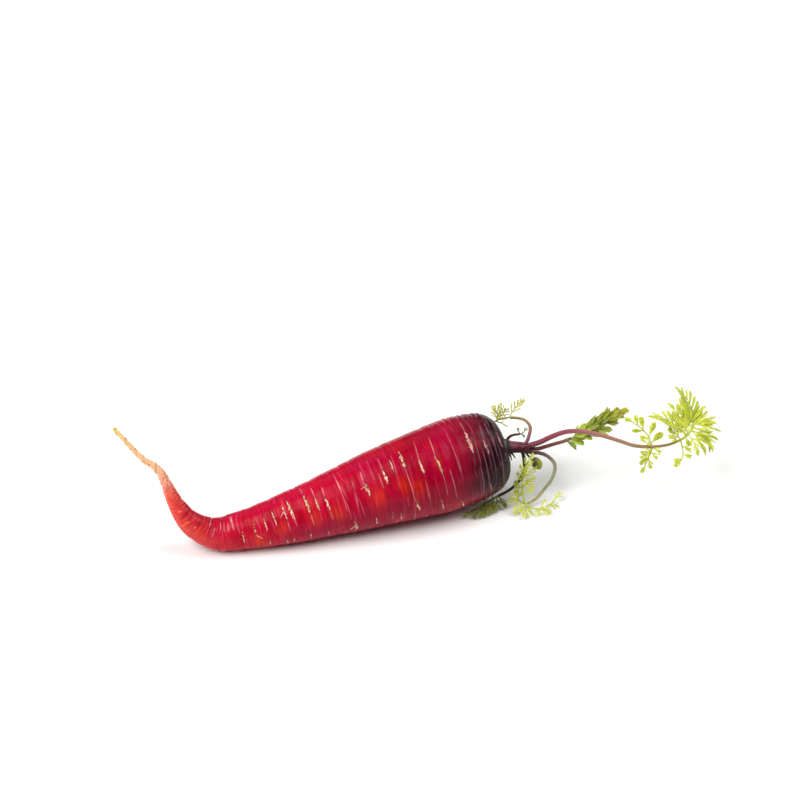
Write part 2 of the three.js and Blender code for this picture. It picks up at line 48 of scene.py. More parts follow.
ROOT_AXIS = np.array([
    # x, y, z and radius in mm, from the tip of the tail to the crown
    [-139.5, 38.1, 56.5, 0.95], [-135.8, 34.8, 51.5, 1.1], [-132.0, 31.6, 46.0, 1.25],
    [-128.6, 28.9, 41.8, 1.4], [-125.2, 27.2, 39.0, 1.65], [-122.4, 25.3, 35.8, 1.95],
    [-120.9, 23.0, 32.0, 2.3], [-119.8, 21.0, 28.0, 2.8], [-118.6, 18.7, 23.8, 3.4],
    [-116.9, 15.8, 19.5, 4.2], [-114.3, 12.2, 15.0, 5.2], [-110.2, 9.2, 11.2, 6.2],
    [-105.2, 7.0, 8.6, 7.1], [-99.9, 5.2, 7.5, 7.95], [-94.0, 3.9, 8.2, 8.7],
    [-87.0, 2.8, 8.9, 9.4], [-79.8, 1.9, 9.9, 10.4], [-72.5, 1.2, 11.0, 11.5],
    [-55.6, 0.5, 13.2, 13.7], [-36.0, 0.3, 16.0, 16.6], [-16.2, 0.3, 18.5, 19.1],
    [3.9, 0.4, 20.5, 21.1], [12.0, 0.6, 21.5, 21.5], [19.2, 0.8, 22.3, 21.2],
    [25.6, 0.9, 22.9, 20.4], [30.4, 0.9, 23.3, 19.3], [38.8, 0.9, 24.0, 0.0],
])
CROWN_PROFILE = np.array([
    # x and radius in mm over the rounded crown
    [32.0, 18.5], [33.4, 17.5], [35.0, 16.1], [36.1, 14.7], [36.8, 13.4],
    [37.4, 11.2], [37.8, 8.4], [38.1, 5.6], [38.2, 3.0],
])
TAIL_TIP_PROFILE = [(0.0, 0.0), (0.08, 0.5), (0.4, 0.85), (1.0, 0.96)]  # mm along, radius
ROOT_RINGS = 740
ROOT_SIDES = 128
FIRST_RING, RING_PITCH, RING_WIDTH, RING_DEPTH = 46.5, 7.2, 0.9, 0.3  # growth rings, in mm
CREASE_DEPTH, SCAR_DEPTH, SCAR_LIP = 0.12, 0.16, 0.06  # mm
CROWN_FOLD_DEPTH, BEND_FOLD_DEPTH = 0.36, 0.24  # mm
SPECK_SIZE, SPECK_HEIGHT = 0.45, 0.12  # mm
KNOB_SHARE = 0.16  # of the tail's radius
DUSK_START, DUSK_END, DUSK_REACH = 187, 211, 11  # mm along, and further down on the lit side


def smooth_route(points, per_span=40):
    """Centripetal Catmull-Rom curve through the points, every span at once.

    Each span is the cubic that meets its two points, with slopes taken from the neighbours and
    weighed by the square root of the distances. The end spans mirror their last neighbour.
    """
    p = np.vstack([2 * points[0] - points[1], points, 2 * points[-1] - points[-2]])
    gap = np.linalg.norm(np.diff(p, axis=0), axis=1) ** 0.5
    before, start, end, after = p[:-3], p[1:-2], p[2:-1], p[3:]
    g0, g1, g2 = gap[:-2, None], gap[1:-1, None], gap[2:, None]
    leave = ((start - before) / g0 - (end - before) / (g0 + g1) + (end - start) / g1) * g1
    arrive = ((end - start) / g1 - (after - start) / (g1 + g2) + (after - end) / g2) * g1
    t = np.arange(per_span)[None, :, None] / per_span
    start, end, leave, arrive = (part[:, None, :] for part in (start, end, leave, arrive))
    curve = start + leave * t + (3 * (end - start) - 2 * leave - arrive) * t**2
    curve = curve + (2 * (start - end) + leave + arrive) * t**3
    return np.vstack([curve.reshape(-1, points.shape[1]), points[-1]])


def unit(vectors):
    """Each vector over its own length."""
    return vectors / np.linalg.norm(vectors, axis=-1, keepdims=True)


class Route:
    """A dense curve that can be asked for its point and cross axes at any distance along it."""

    def __init__(self, points):
        self.dense = smooth_route(np.asarray(points, float))
        steps = np.linalg.norm(np.diff(self.dense, axis=0), axis=1)
        self.arc = np.concatenate([[0], np.cumsum(steps)])
        self.length = self.arc[-1]

    def at(self, places):
        places = np.clip(places, 0, self.length)
        return np.stack([np.interp(places, self.arc, self.dense[:, k]) for k in range(3)], -1)

    def axes(self, places):
        """Tangent, level axis Z x tangent, and raised axis tangent x level, at each place."""
        tangent = unit(self.at(places + 0.3) - self.at(places - 0.3))
        level = unit(np.cross([0.0, 0.0, 1.0], tangent))
        return tangent, level, np.cross(tangent, level)


def spokes(turn, level, raised):
    """Unit vectors across a route: level times the cosine of the turn and raised times its sine."""
    return np.cos(turn)[..., None] * level + np.sin(turn)[..., None] * raised


def ring_faces(rings, sides):
    """Quads between rings of points, and the fans that close both ends on a pole.

    The points are the rings in order, then the first pole and the last pole.
    """
    i, j = np.meshgrid(np.arange(rings - 1), np.arange(sides), indexing="ij")
    k = (j + 1) % sides
    quads = np.stack([i * sides + j, i * sides + k, (i + 1) * sides + k, (i + 1) * sides + j], -1)
    j = np.arange(sides)
    k = (j + 1) % sides
    first, last, end = rings * sides, rings * sides + 1, (rings - 1) * sides
    fans = np.concatenate([
        np.stack([np.full(sides, first), k, j], -1),
        np.stack([np.full(sides, last), end + j, end + k], -1),
    ])
    return quads.reshape(-1, 4), fans


def make_piece(name, points, quads, fans, material, slot, node=None, **attributes):
    """A smooth mesh from points in mm that rides on the carrot, with its attributes' values."""
    mesh = bpy.data.meshes.new(name)
    mesh.from_pydata((points * 0.001).tolist(), [], quads.tolist() + fans.tolist())
    kinds = {1: ("FLOAT", "value"), 3: ("FLOAT_VECTOR", "vector")}
    for label, values in attributes.items():
        values = np.asarray(values, np.float32)
        kind, field = kinds[1 if values.ndim == 1 else 3]
        mesh.attributes.new(label, kind, "POINT").data.foreach_set(field, values.ravel())
    mesh.shade_smooth()
    mesh.materials.append(material)
    piece = bpy.data.objects.new(name, mesh)
    bpy.context.scene.collection.objects.link(piece)
    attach(piece, "root")
    if node:
        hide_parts(node)


root_route = Route(ROOT_AXIS[:, :3])
mark_x = np.concatenate([ROOT_AXIS[:-1, 0], CROWN_PROFILE[:, 0]])
mark_radius = np.concatenate([ROOT_AXIS[:-1, 3], CROWN_PROFILE[:, 1]])
mark_along = np.interp(mark_x, root_route.dense[:, 0], root_route.arc)
profile = smooth_route(np.vstack([
    TAIL_TIP_PROFILE,
    np.stack([mark_along, mark_radius], -1)[1:],
]), 30)
profile_arc = np.concatenate([[0], np.cumsum(np.linalg.norm(np.diff(profile, axis=0), axis=1))])
profile_places = np.linspace(0, profile_arc[-1], ROOT_RINGS + 1)[1:]
along = np.interp(profile_places, profile_arc, profile[:, 0])
radius = np.interp(profile_places, profile_arc, profile[:, 1])
angle = np.arange(ROOT_SIDES) * 360 / ROOT_SIDES
ALONG, ANGLE = np.meshgrid(along, angle, indexing="ij")


def waves(values, pitches, seed):
    """A smooth wandering value from -1 to 1: the mean of sine waves of the given pitches."""
    phases = np.random.default_rng(seed).uniform(0, 2 * np.pi, len(pitches))
    return sum(np.sin(2 * np.pi * values / p + f) for p, f in zip(pitches, phases)) / len(pitches)


def turned_from(a):
    """Degrees round the root from the angle a to each skin point, from -180 to 180."""
    return (ANGLE - a + 180) % 360 - 180


def bell(x, width):
    """A smooth bump, 1 at x = 0: e to the power of minus the square of x over the width."""
    return np.exp(-((x / width) ** 2))


def rise(x, start, end):
    """0 up to the start, 1 from the end on, straight between them. The start may be the higher."""
    return np.clip((x - start) / (end - start), 0, 1)


def marks_on_skin(marks, edge, ragged=0.0, lean=1.0):
    """How far each skin point lies inside spindle-shaped marks, from 0 to 1.

    A mark is (along, angle, along, angle, width in mm). Its half width is w/2 * sin(pi t^lean)^0.7
    at t along its line, made uneven by waves, and its cover falls off over `edge` mm past that.
    """
    cover = np.zeros(ALONG.shape)
    for order, (s0, a0, s1, a1, width) in enumerate(marks):
        t = turned_from(a0) / (a1 - a0)
        inside = np.clip(np.sin(np.pi * np.clip(t, 0, 1) ** lean), 0, 1) ** 0.7
        uneven = 1 + ragged * waves(ANGLE, (17, 7.3, 3.9), order)
        drift = ragged * 0.3 * width * waves(ANGLE, (11, 5.1), order + 500)
        off = np.abs(ALONG - s0 - (s1 - s0) * t - drift)
        here = np.clip((width / 2 * inside * uneven - off) / edge + 0.5, 0, 1)
        cover = np.maximum(cover, here * np.clip(3 * inside, 0, 1) * (t > 0) * (t < 1))
    return cover


def spots_on_skin(spots, squash):
    """How far each skin point lies inside spots, from 0 to 1.

    A spot is (along, angle, size in mm): a bell of that size, over the distance from its middle, in
    which the way round the root counts `squash` times.
    """
    cover = np.zeros(ALONG.shape)
    for s, a, size in spots:
        round_it = squash * np.radians(turned_from(a)) * np.interp(s, along, radius)
        cover = np.maximum(cover, bell(np.hypot(ALONG - s, round_it), size))
    return cover


SCARS = [
    # along the axis in mm and angle round it in degrees, at both ends, then width in mm.
    # 0 degrees is level behind, 90 on top, 180 level in front
    (176.2, 121, 177.2, 147, 2.6), (168.4, 118, 169.0, 138, 2.3), (161.9, 95, 161.7, 122, 2.4),
    (194.0, 100, 193.7, 134, 3.0), (200.4, 120, 201.0, 141, 2.3), (207.8, 108, 209.0, 140, 1.6),
    (156.7, 101, 156.1, 124, 1.6), (151.8, 114, 152.2, 136, 2.2), (142.4, 124, 142.7, 147, 2.6),
    (123.3, 119, 123.6, 148, 2.0), (118.9, 114, 119.0, 144, 2.2), (114.1, 97, 114.8, 143, 2.5),
    (106.0, 92, 107.2, 148, 2.6), (103.6, 99, 104.0, 146, 1.7), (98.5, 102, 99.3, 153, 1.3),
    (94.2, 108, 94.7, 156, 1.3), (89.3, 110, 89.1, 165, 1.3), (83.2, 138, 83.4, 181, 1.3),
    (162.1, 172, 163.8, 193, 1.9), (174.0, 184, 175.3, 204, 1.6), (183.1, 192, 185.2, 218, 1.8),
    (198.5, 181, 199.8, 203, 1.6), (132.9, 182, 133.9, 209, 2.4), (143.2, 183, 143.1, 203, 1.5),
    (150.8, 184, 150.8, 201, 1.4), (154.5, 187, 155.0, 211, 1.5), (120.7, 191, 120.5, 209, 1.4),
    (112.8, 188, 112.5, 210, 1.5), (105.2, 191, 105.0, 214, 1.2), (102.1, 190, 101.8, 212, 1.2),
    (94.7, 183, 94.3, 209, 1.1), (189.8, 52, 190.6, 70, 1.8), (194.2, 50, 194.6, 66, 1.5),
]
CREASES = [
    # fine pale creases, given the same way
    (177.4, 90, 176.2, 125, 0.8), (177.2, 142, 177.3, 177, 0.7), (170.2, 87, 168.4, 122, 0.8),
    (161.3, 119, 162.1, 176, 0.7), (194.4, 81, 194.0, 104, 0.8), (193.7, 130, 192.8, 152, 0.7),
    (196.5, 114, 195.7, 153, 0.8), (201.8, 97, 200.4, 124, 0.9), (201.0, 137, 200.6, 171, 0.8),
    (205.4, 107, 204.8, 147, 0.7), (180.8, 141, 181.3, 188, 0.6), (158.1, 95, 157.0, 127, 0.8),
    (152.1, 91, 151.8, 118, 0.8), (149.5, 117, 149.6, 141, 0.7), (142.4, 101, 141.6, 130, 1.1),
    (130.9, 80, 131.1, 127, 1.5), (131.1, 123, 130.8, 160, 0.6), (123.6, 99, 123.3, 123, 1.0),
    (123.6, 144, 123.7, 168, 0.6), (118.9, 88, 118.9, 117, 1.0), (119.2, 141, 118.9, 163, 0.6),
    (114.2, 72, 114.1, 99, 0.9), (114.8, 140, 114.9, 168, 0.7), (107.2, 145, 107.4, 162, 0.7),
    (104.0, 142, 104.0, 170, 0.7), (79.5, 66, 80.0, 134, 1.4), (72.8, 92, 73.2, 128, 1.2),
    (76.2, 100, 75.6, 132, 1.2), (78.3, 104, 77.8, 135, 1.1), (69.5, 117, 69.2, 156, 1.1),
    (60.5, 132, 60.0, 153, 1.0), (57.2, 129, 56.0, 144, 1.0), (51.2, 113, 49.8, 150, 0.9),
    (137.2, 112, 136.3, 158, 0.6), (147.4, 85, 146.6, 122, 0.6), (131.5, 136, 131.9, 179, 0.5),
    (168.5, 144, 169.0, 188, 0.6), (186.0, 95, 185.4, 150, 0.5), (66.0, 70, 66.4, 120, 0.9),
    (198.4, 126, 198.0, 200, 0.9), (203.0, 116, 202.2, 192, 1.0), (207.0, 128, 206.4, 202, 0.9),
    (209.4, 80, 209.2, 132, 1.0), (206.0, 62, 206.2, 108, 0.9), (195.2, 150, 195.0, 210, 0.8),
]
PALE_SPOTS = [
    # along in mm, angle in degrees, size in mm
    (158.2, 146, 6), (165.8, 155, 5), (126.4, 161, 7), (101.2, 157, 4), (63.0, 138, 4.5),
    (43.0, 99, 5), (116.6, 152, 5), (49.0, 128, 5), (56.0, 150, 4), (57.0, 108, 4),
    (190.0, 64, 3), (146.8, 151, 7), (90.0, 182, 5), (90.0, 250, 8), (140.0, 300, 9),
    (60.0, 330, 7), (170.0, 20, 6),
]
SPECKS = [
    # along in mm, angle in degrees
    (0.8, 104), (3.3, 186), (7.1, 99), (13.9, 103), (12.3, 197), (20.4, 198), (23.4, 176),
    (27.8, 83), (31.7, 85), (34.6, 99), (36.5, 120), (17.0, 300), (29.0, 320), (41.0, 70),
]

# The sides out of sight from the front carry rows of the same marks, set by chance.
chance = np.random.default_rng(11)
for row_angle in (245, 305, 5):
    for place in np.arange(66, 206, 8.5):
        s = place + chance.uniform(-3, 3)
        a = row_angle + chance.uniform(-9, 9)
        reach = chance.uniform(8, 16)
        end = s + chance.uniform(-0.8, 0.8)
        SCARS.append((s, a - reach, end, a + reach, chance.uniform(1.2, 2.4)))
        tail = chance.uniform(14, 34)
        CREASES.append((s, a - reach - tail, s, a - reach + 6, chance.uniform(0.6, 1.0)))

HAIRLINES = []
for place in np.arange(58, 207, 1.15):
    s = place + chance.uniform(-0.6, 0.6)
    a = chance.uniform(0, 360)
    end, end_angle = s + chance.uniform(-1.2, 1.2), a + chance.uniform(18, 60)
    HAIRLINES.append((s, a, end, end_angle, chance.uniform(0.3, 0.6)))

# A flush of orange surrounds each scar, and the creases near the crown lie in wider furrows.
scar = marks_on_skin([
    (s0, a0 - 5, s1, a1 + 1, 0.62 * width) for s0, a0, s1, a1, width in SCARS
], 0.6, 0.4, 1.5)
flush = marks_on_skin([
    (s0, a0 - 4, s1, a1 + 4, width + 1.2) for s0, a0, s1, a1, width in SCARS
], 2.2, 0.3)
crease = marks_on_skin([(*ends, 0.36 * width) for *ends, width in CREASES], 0.35, 0.3)
furrow = marks_on_skin([
    (s0 + 1.2, a0 - 8, s1 + 1.2, a1 + 10, 1.5) for s0, a0, s1, a1, _ in CREASES if s0 > 190
], 0.9, 0.3)
hairline = marks_on_skin(HAIRLINES, 0.35, 0.2)
pale_spot = spots_on_skin([(s, a, size / 3**0.5) for s, a, size in PALE_SPOTS], 0.6)
speck = spots_on_skin([(s, a, SPECK_SIZE) for s, a in SPECKS], 1)

# The purple-black of the crown reaches furthest down the root on the side that faced the light.
reach = DUSK_REACH * bell(turned_from(168), 42) - 3 * waves(ANGLE, (83, 37, 19), 7)
dusk = rise(ALONG + reach, DUSK_START, DUSK_END)
# Painted shade makes the underside a deeper maroon, and a painted reflection of the white table
# makes the lower front of the bend a lighter, more orange red.
under = bell(np.maximum(0, 178 - ANGLE), 16) * bell(np.maximum(0, ANGLE - 262), 20)
under = under * rise(ALONG, 92, 122)
# a painted reflection of the white table: pale salmon on the lower front of the bend
painted_bend_sheen = bell(ANGLE - 190, 42) * rise(ALONG, 28, 40) * rise(ALONG, 82, 58)

# Growth rings: shallow grooves pressed round the root, each deepest on one side, as on the solid.
groove = np.zeros(ALONG.shape)
place, order = FIRST_RING, 0
while place < root_route.length - 14:
    share = (0.5 + 0.5 * np.cos(np.radians(ANGLE) - order * 2.1)) * (1 - 0.6 * under)
    groove += share * bell(ALONG - place, RING_WIDTH)
    place += RING_PITCH * (1 + 0.33 * np.sin(order * 2.4))
    order += 1

# It is not quite round, and its marks are shallower where the tail is thin.
swell = 0.006 * waves(ALONG + 14 * np.sin(np.radians(ANGLE)), (31, 17, 11), 3)
swell = swell + 0.012 * np.cos(np.radians(2 * ANGLE - 1.1 * ALONG)) * rise(ALONG, 0, 60)
fade = rise(ALONG, root_route.length - 4, root_route.length - 14)
thick = np.clip(radius / 4, 0.15, 1)[:, None]
skin_radius = radius[:, None] * (1 + swell * fade)

# Folds run round the crown, where they gather towards the leaves.
drift = 3 * np.sin(np.radians(ANGLE) * 2 + ALONG / 9)
wrinkle = waves(ALONG + 0.35 * drift, (3.3, 2.3), 31)
wrinkle = wrinkle * (0.8 + 0.9 * waves(ALONG * 2 + ANGLE * 1.3, (93, 57), 32))
wrinkle = wrinkle * np.clip((212 - ALONG) / 6, 0.15, 1)
gather = waves(ANGLE + 2 * ALONG, (30, 18, 12, 8), 35) * rise(ALONG, 196, 204)
fold = np.tanh(1.5 * wrinkle + 0.8 * gather) - 0.8 * furrow
fold = fold * rise(ALONG, 181, 195) * (1 - 0.3 * under)
skin_radius = skin_radius + CROWN_FOLD_DEPTH * fold * fade

# The inside of the bend is folded too, and painted shade makes the hollows of its folds a deeper
# red.
bend_folds = waves(ALONG + 0.3 * drift, (2.3, 1.9), 33)
in_bend = bell(ALONG - 68, 13) * bell(turned_from(95), 60)
skin_radius = skin_radius + BEND_FOLD_DEPTH * in_bend * bend_folds
inside = bell(ALONG - 60, 19) * bell(turned_from(82), 50) * (0.7 - 0.45 * np.tanh(2 * bend_folds))

# The tail is knobbly.
knobs = waves(ALONG + 2 * np.sin(np.radians(ANGLE)), (6.3, 3.7, 2.3), 34)
knobs = knobs * rise(ALONG, 44, 30) * rise(ALONG, 0, 2)
skin_radius = skin_radius * (1 + KNOB_SHARE * knobs)

# Rings, creases and scars are sunk, with a low lip round each scar, and the specks stand out.
skin_radius = skin_radius - thick * (RING_DEPTH * groove + CREASE_DEPTH * crease)
skin_radius = skin_radius - thick * SCAR_DEPTH * np.clip(scar * 1.3, 0, 1)
skin_radius = skin_radius + thick * SCAR_LIP * bell(scar - 0.3, 0.18)
skin_radius = skin_radius + SPECK_HEIGHT * speck

_, level, raised = root_route.axes(along)
outward = spokes(np.radians(angle), level[:, None], raised[:, None])
skin = root_route.at(along)[:, None] + skin_radius[..., None] * outward
skin[..., 2] = np.maximum(skin[..., 2], 0)
poles = root_route.at(np.array([0.0, root_route.length - 0.4]))
root_points = np.vstack([skin.reshape(-1, 3), poles])


def linear(hex_colour):
    """sRGB hex to linear RGBA."""
    s = np.array([int(hex_colour[k : k + 2], 16) for k in (1, 3, 5)]) / 255
    return (*np.where(s <= 0.04045, s / 12.92, ((s + 0.055) / 1.055) ** 2.4), 1.0)


def add_node(tree, kind, settings=None, *values, give=None, stops=(), **named):
    """Adds a node and returns its first usable output, or the one that `give` names.

    `settings` are its properties. `values` fill its usable inputs in order, and `named` fills
    inputs by their labels, with _ for spaces: an output is linked, and a hex colour is made linear.
    `stops` are a colour ramp's (place, colour) pairs.
    """
    node = tree.nodes.new("ShaderNode" + kind)
    for key, value in (settings or {}).items():
        setattr(node, key, value)
    fills = list(zip([socket for socket in node.inputs if socket.enabled], values))
    fills += [(node.inputs[label.replace("_", " ")], value) for label, value in named.items()]
    for socket, value in fills:
        if isinstance(value, bpy.types.NodeSocket):
            tree.links.new(value, socket)
        else:
            socket.default_value = linear(value) if isinstance(value, str) else value
    elements = node.color_ramp.elements if stops else ()
    while len(elements) < len(stops):
        elements.new(0.5)
    for element, (place, colour) in zip(elements, stops):
        element.position, element.color = place, linear(colour)
    usable = [socket for socket in node.outputs if socket.enabled]
    return node.outputs[give] if give else usable[0] if usable else None


def shown(tree, *factors):
    """How far a layer of colour shows, from 0 to 1: the product of its factors.

    A factor is an output, or an output with the low and high that are fitted to 0 and 1, or to the
    two values that follow them.
    """
    product = None
    for factor in factors:
        if isinstance(factor, tuple):
            factor = add_node(tree, "MapRange", None, *factor)
        if product is not None:
            factor = add_node(tree, "Math", {"operation": "MULTIPLY"}, product, factor)
        product = factor
    return product


def layered(tree, colour, layers):
    """The colour with layers laid over it in turn: (its factors, its colour, how it blends)."""
    for factors, tone, *blend in layers:
        settings = {"data_type": "RGBA", "blend_type": blend[0] if blend else "MIX"}
        colour = add_node(tree, "Mix", settings, shown(tree, *factors), colour, tone)
    return colour


def new_material(name):
    """A material with an empty tree of nodes, and that tree."""
    material = bpy.data.materials.new(name)
    material.use_nodes = True
    material.node_tree.nodes.clear()
    return material, material.node_tree


def finish_material(tree, **shader):
    """The principled surface that all the pieces have, with its output."""
    add_node(tree, "OutputMaterial", None, add_node(tree, "BsdfPrincipled", None, **shader))


SKIN_PATTERNS = {
    # repeats in a mm along the root, and round it, then how fine and how rough
    "blotch": ((0.045, 1.2, 1.2), 4.0, 0.5),  # about 20 mm
    "cloud": ((0.12, 2.0, 2.0), 4.0, 0.5),  # about 8 mm
    "rings": ((1.1, 0.9, 0.9), 4.0, 0.6),  # rings about 0.9 mm apart
    "fine_rings": ((2.6, 1.5, 1.5), 3.0, 0.6),  # rings about 0.4 mm apart
    "flecks": ((1.9, 9.0, 9.0), 4.0, 0.65),  # streaks about 0.5 mm wide and 2 mm long
}
# under holds painted shade: on the underside, and in the hollows of the folds inside the bend
SKIN_FIELDS = {
    "scar": scar, "flush": flush, "crease": crease, "hairline": hairline, "pale_spot": pale_spot,
    "speck": speck, "dusk": dusk, "under": np.maximum(under, inside), "painted_bend_sheen": painted_bend_sheen, "fold": fold,
}
TIMES_PLUS = {"operation": "MULTIPLY_ADD"}


def carrot_skin():
    """Washed carrot skin: anthocyanin red over orange flesh, with a satin, slightly waxy surface.

    Each pattern is noise on (mm along, cos, sin of the angle), so that it can be stretched.
    """
    material, tree = new_material("Washed_red_carrot_skin")
    skin_place = add_node(tree, "Attribute", {"attribute_name": "skin"}, give="Vector")
    place_along, _, place_up = add_node(tree, "SeparateXYZ", None, skin_place).node.outputs
    pattern = {}
    for name, (scale, detail, rough) in SKIN_PATTERNS.items():
        stretched = add_node(tree, "Mapping", Vector=skin_place, Scale=scale)
        pattern[name] = add_node(tree, "TexNoise", None, stretched, 1.0, detail, rough)
    blotch, cloud, rings, fine_rings, flecks = pattern.values()
    scar, flush, crease, hairline, pale_spot, speck, dusk, under, painted_bend_sheen, fold = (
        add_node(tree, "Attribute", {"attribute_name": name}, give="Fac") for name in SKIN_FIELDS
    )

    # from the straw-coloured tip of the tail, through orange at the bend, to crimson
    wander = add_node(tree, "Math", TIMES_PLUS, cloud, 16.0, place_along)
    wander = add_node(tree, "Math", {"operation": "SUBTRACT"}, wander, 8.0)
    share = add_node(tree, "MapRange", None, wander, 0.0, 214.0)
    colour = add_node(tree, "ValToRGB", None, share, stops=[
        (0.0, "#ecd070"), (0.03, "#f0c890"), (0.135, "#f4bc90"), (0.17, "#f8a488"),
        (0.205, "#e04e46"), (0.25, "#c01e2e"), (0.32, "#c40c30"), (0.55, "#c40834"),
        (0.78, "#a40428"), (1.0, "#880828"),
    ])
    crown = add_node(tree, "ValToRGB", None, dusk, stops=[
        (0.0, "#9c0828"), (0.25, "#940e2e"), (0.5, "#7a0e26"), (0.75, "#541020"), (1.0, "#30101a"),
    ])
    body = shown(tree, (place_along, 60.0, 90.0), (dusk, 0.5, 0.0))
    glow = layered(tree, "#f04a20", [([(place_along, 115.0, 150.0)], "#d83414")])
    # on the crown's folds a painted greyish-lilac sheen, paler towards the top, and painted
    # near-black shade between them
    painted_fold_sheen = layered(tree, "#743c4c", [([(place_up, 0.2, 0.9)], "#8c6884")])
    ridge = shown(tree, (dusk, 0.3, 0.9), (rings, 0.35, 0.65, 0.35, 1.0))
    pale = layered(tree, "#d86080", [([dusk], "#6c4858")])
    pale_crease = layered(tree, "#f0a8ac", [([dusk], "#94707c")])
    cork = add_node(tree, "ValToRGB", None, flecks, stops=[
        (0.38, "#8c2c20"), (0.46, "#d48860"), (0.52, "#e8b08c"), (0.6, "#f6dad4"),
    ])
    cork = layered(tree, cork, [([(dusk, 0.2, 0.7, 0.0, 0.75)], "#a8747c")])
    broken = add_node(tree, "Math", TIMES_PLUS, flecks, 1.6, scar)
    ringed = shown(tree, (rings, 0.4, 0.66, 0.0, 0.75), (place_along, 15.0, 55.0, 0.3, 1.0))
    colour = layered(tree, colour, [
        ([body, (blotch, 0.42, 0.66, 0.0, 0.55)], "#b80440"),
        ([body, (cloud, 0.52, 0.68, 0.0, 0.5)], "#c40a18"),
        ([pale_spot, (cloud, 0.35, 0.65, 0.25, 0.75)], glow),
        ([flush, (cloud, 0.4, 0.65, 0.0, 0.4)], "#c83818"),
        # painted shade: a deeper maroon on the underside and in the hollows of the bend's folds
        ([under, (cloud, 0.3, 0.6, 0.75, 0.45)], "#920e34"),
        # painted reflection of the white table on the bend's lower front
        ([painted_bend_sheen, (cloud, 0.35, 0.65, 0.35, 0.75)], "#f86a5a"),
        ([(dusk, 0.0, 0.2)], crown),
        # painted highlight: a greyish-lilac sheen on the ridges of the crown's folds
        ([ridge, (fold, 0.15, 0.8, 0.0, 0.75)], painted_fold_sheen),
        # painted shade: near black in the hollows between the crown's folds
        ([ridge, (fold, -0.1, -0.7, 0.0, 0.95)], "#14060c"),
        ([ringed], "#b88890", "MULTIPLY"),
        ([(fine_rings, 0.6, 0.75), (cloud, 0.4, 0.65, 0.0, 0.22)], pale),
        ([hairline, (cloud, 0.35, 0.6, 0.08, 0.5)], pale),
        ([crease, (cloud, 0.35, 0.6, 0.2, 0.8)], pale_crease),
        ([(scar, 0.05, 0.4, 0.0, 0.45)], "#905868", "MULTIPLY"),
        ([(broken, 1.4, 1.75, 0.0, 0.95), (scar, 0.1, 0.3)], cork),
        ([(speck, 0.3, 0.7, 0.0, 0.8)], "#8a5038"),
    ])

    # the finest rings and the cork's grain are felt as relief, and cork is duller than skin
    height = add_node(tree, "Math", TIMES_PLUS, rings, 0.6, fine_rings)
    grain = add_node(tree, "MapRange", None, flecks, 0.3, 0.7, 0.0, 1.5)
    height = add_node(tree, "Math", TIMES_PLUS, scar, grain, height)
    rough = add_node(tree, "MapRange", None, cloud, 0.3, 0.7, 0.2, 0.3)
    finish_material(
        tree, Base_Color=colour, IOR=1.35,
        Roughness=add_node(tree, "Math", TIMES_PLUS, scar, 0.25, rough),
        Specular_IOR_Level=add_node(tree, "MapRange", None, dusk, 0.3, 1.0, 0.17, 0.19),
        Normal=add_node(tree, "Bump", Strength=0.35, Distance=0.0003, Height=height),
    )
    return material


on_skin = np.stack([ALONG, np.cos(np.radians(ANGLE)), np.sin(np.radians(ANGLE))], -1)
make_piece(
    "Root_skin", root_points, *ring_faces(ROOT_RINGS, ROOT_SIDES),
    carrot_skin(), "root_flesh", "root",
    skin=np.vstack([on_skin.reshape(-1, 3), [0, 1, 0], [root_route.length, 1, 0]]),
    # nothing but the dusk reaches the poles, and it fills the one at the crown
    **{name: np.append(values, [0, name == "dusk"]) for name, values in SKIN_FIELDS.items()},
)

# ---- Side roots ----
# Hair-thin side roots, snapped short when the carrot was pulled and washed. They come out of the
# scars and dry to pale, curled wisps.

SIDE_ROOTS = [
    # along in mm, angle in degrees, length in mm, and how it leans: along the root and round it
    (148.4, 62, 3.6, -0.5, 0.3), (143.0, 128, 4.2, -0.9, 0.2), (104.0, 119, 3.6, -0.8, 0.9),
    (106.0, 54, 2.4, 0.5, 0.2), (103.1, 58, 1.8, -0.4, 0.5), (95.0, 56, 2.4, -0.9, 0.3),
    (88.6, 54, 2.0, 0.5, 0.3), (84.4, 56, 2.6, 0.7, 0.5), (89.4, 162, 3.0, 0.8, 0.6),
    (94.8, 150, 1.6, -0.5, 0.6), (133.0, 193, 3.0, -1.0, 0.1), (74.7, 60, 1.6, 0.4, 0.4),
    (118.0, 250, 4.5, 0.4, 0.6), (152.0, 246, 3.8, -0.6, 0.4), (98.0, 305, 4.0, 0.5, -0.5),
    (136.0, 308, 3.2, -0.4, 0.6), (166.0, 304, 2.6, 0.5, 0.5), (81.0, 4, 3.5, -0.5, 0.7),
    (112.0, 8, 2.8, 0.6, 0.3), (156.0, 2, 3.4, -0.7, 0.5), (128.0, 60, 1.6, 0.3, 0.4),
    (38.0, 150, 1.2, 0.2, 0.5), (46.0, 60, 1.4, 0.3, 0.4), (57.0, 300, 2.6, 0.5, 0.5),
]
SIDE_ROOT_RADII = [0.3, 0.2, 0.13, 0.06]
SIDE_ROOT_SUNK = 0.6  # mm of its foot under the skin


def tube(points, radii, sides=8, rings=None, section=None):
    """A closed round tube along a route: centre + r (level cos a + raised sin a).

    radii are spread evenly along it. `section` may turn (along 0..1, angle) into a factor on r.
    Returns its points, quads, fans, and the share of its length and the angle at each point.
    """
    route = Route(points)
    rings = rings or max(6, int(route.length / 0.5))
    share = np.linspace(0, 1, rings)
    _, level, raised = route.axes(share * route.length)
    turn = np.arange(sides) * 2 * np.pi / sides
    r = np.interp(share, np.linspace(0, 1, len(radii)), radii)[:, None] * np.ones(sides)
    if section is not None:
        r = r * section(share[:, None], turn[None, :])
    ring = spokes(turn, level[:, None], raised[:, None])
    points = route.at(share * route.length)[:, None] + r[..., None] * ring
    ends = route.at(np.array([0.0, route.length]))
    where = np.stack(np.broadcast_arrays(share[:, None], turn[None, :]), -1).reshape(-1, 2)
    where = np.vstack([where, [0, 0], [1, 0]])
    return np.vstack([points.reshape(-1, 3), ends]), *ring_faces(rings, sides), where


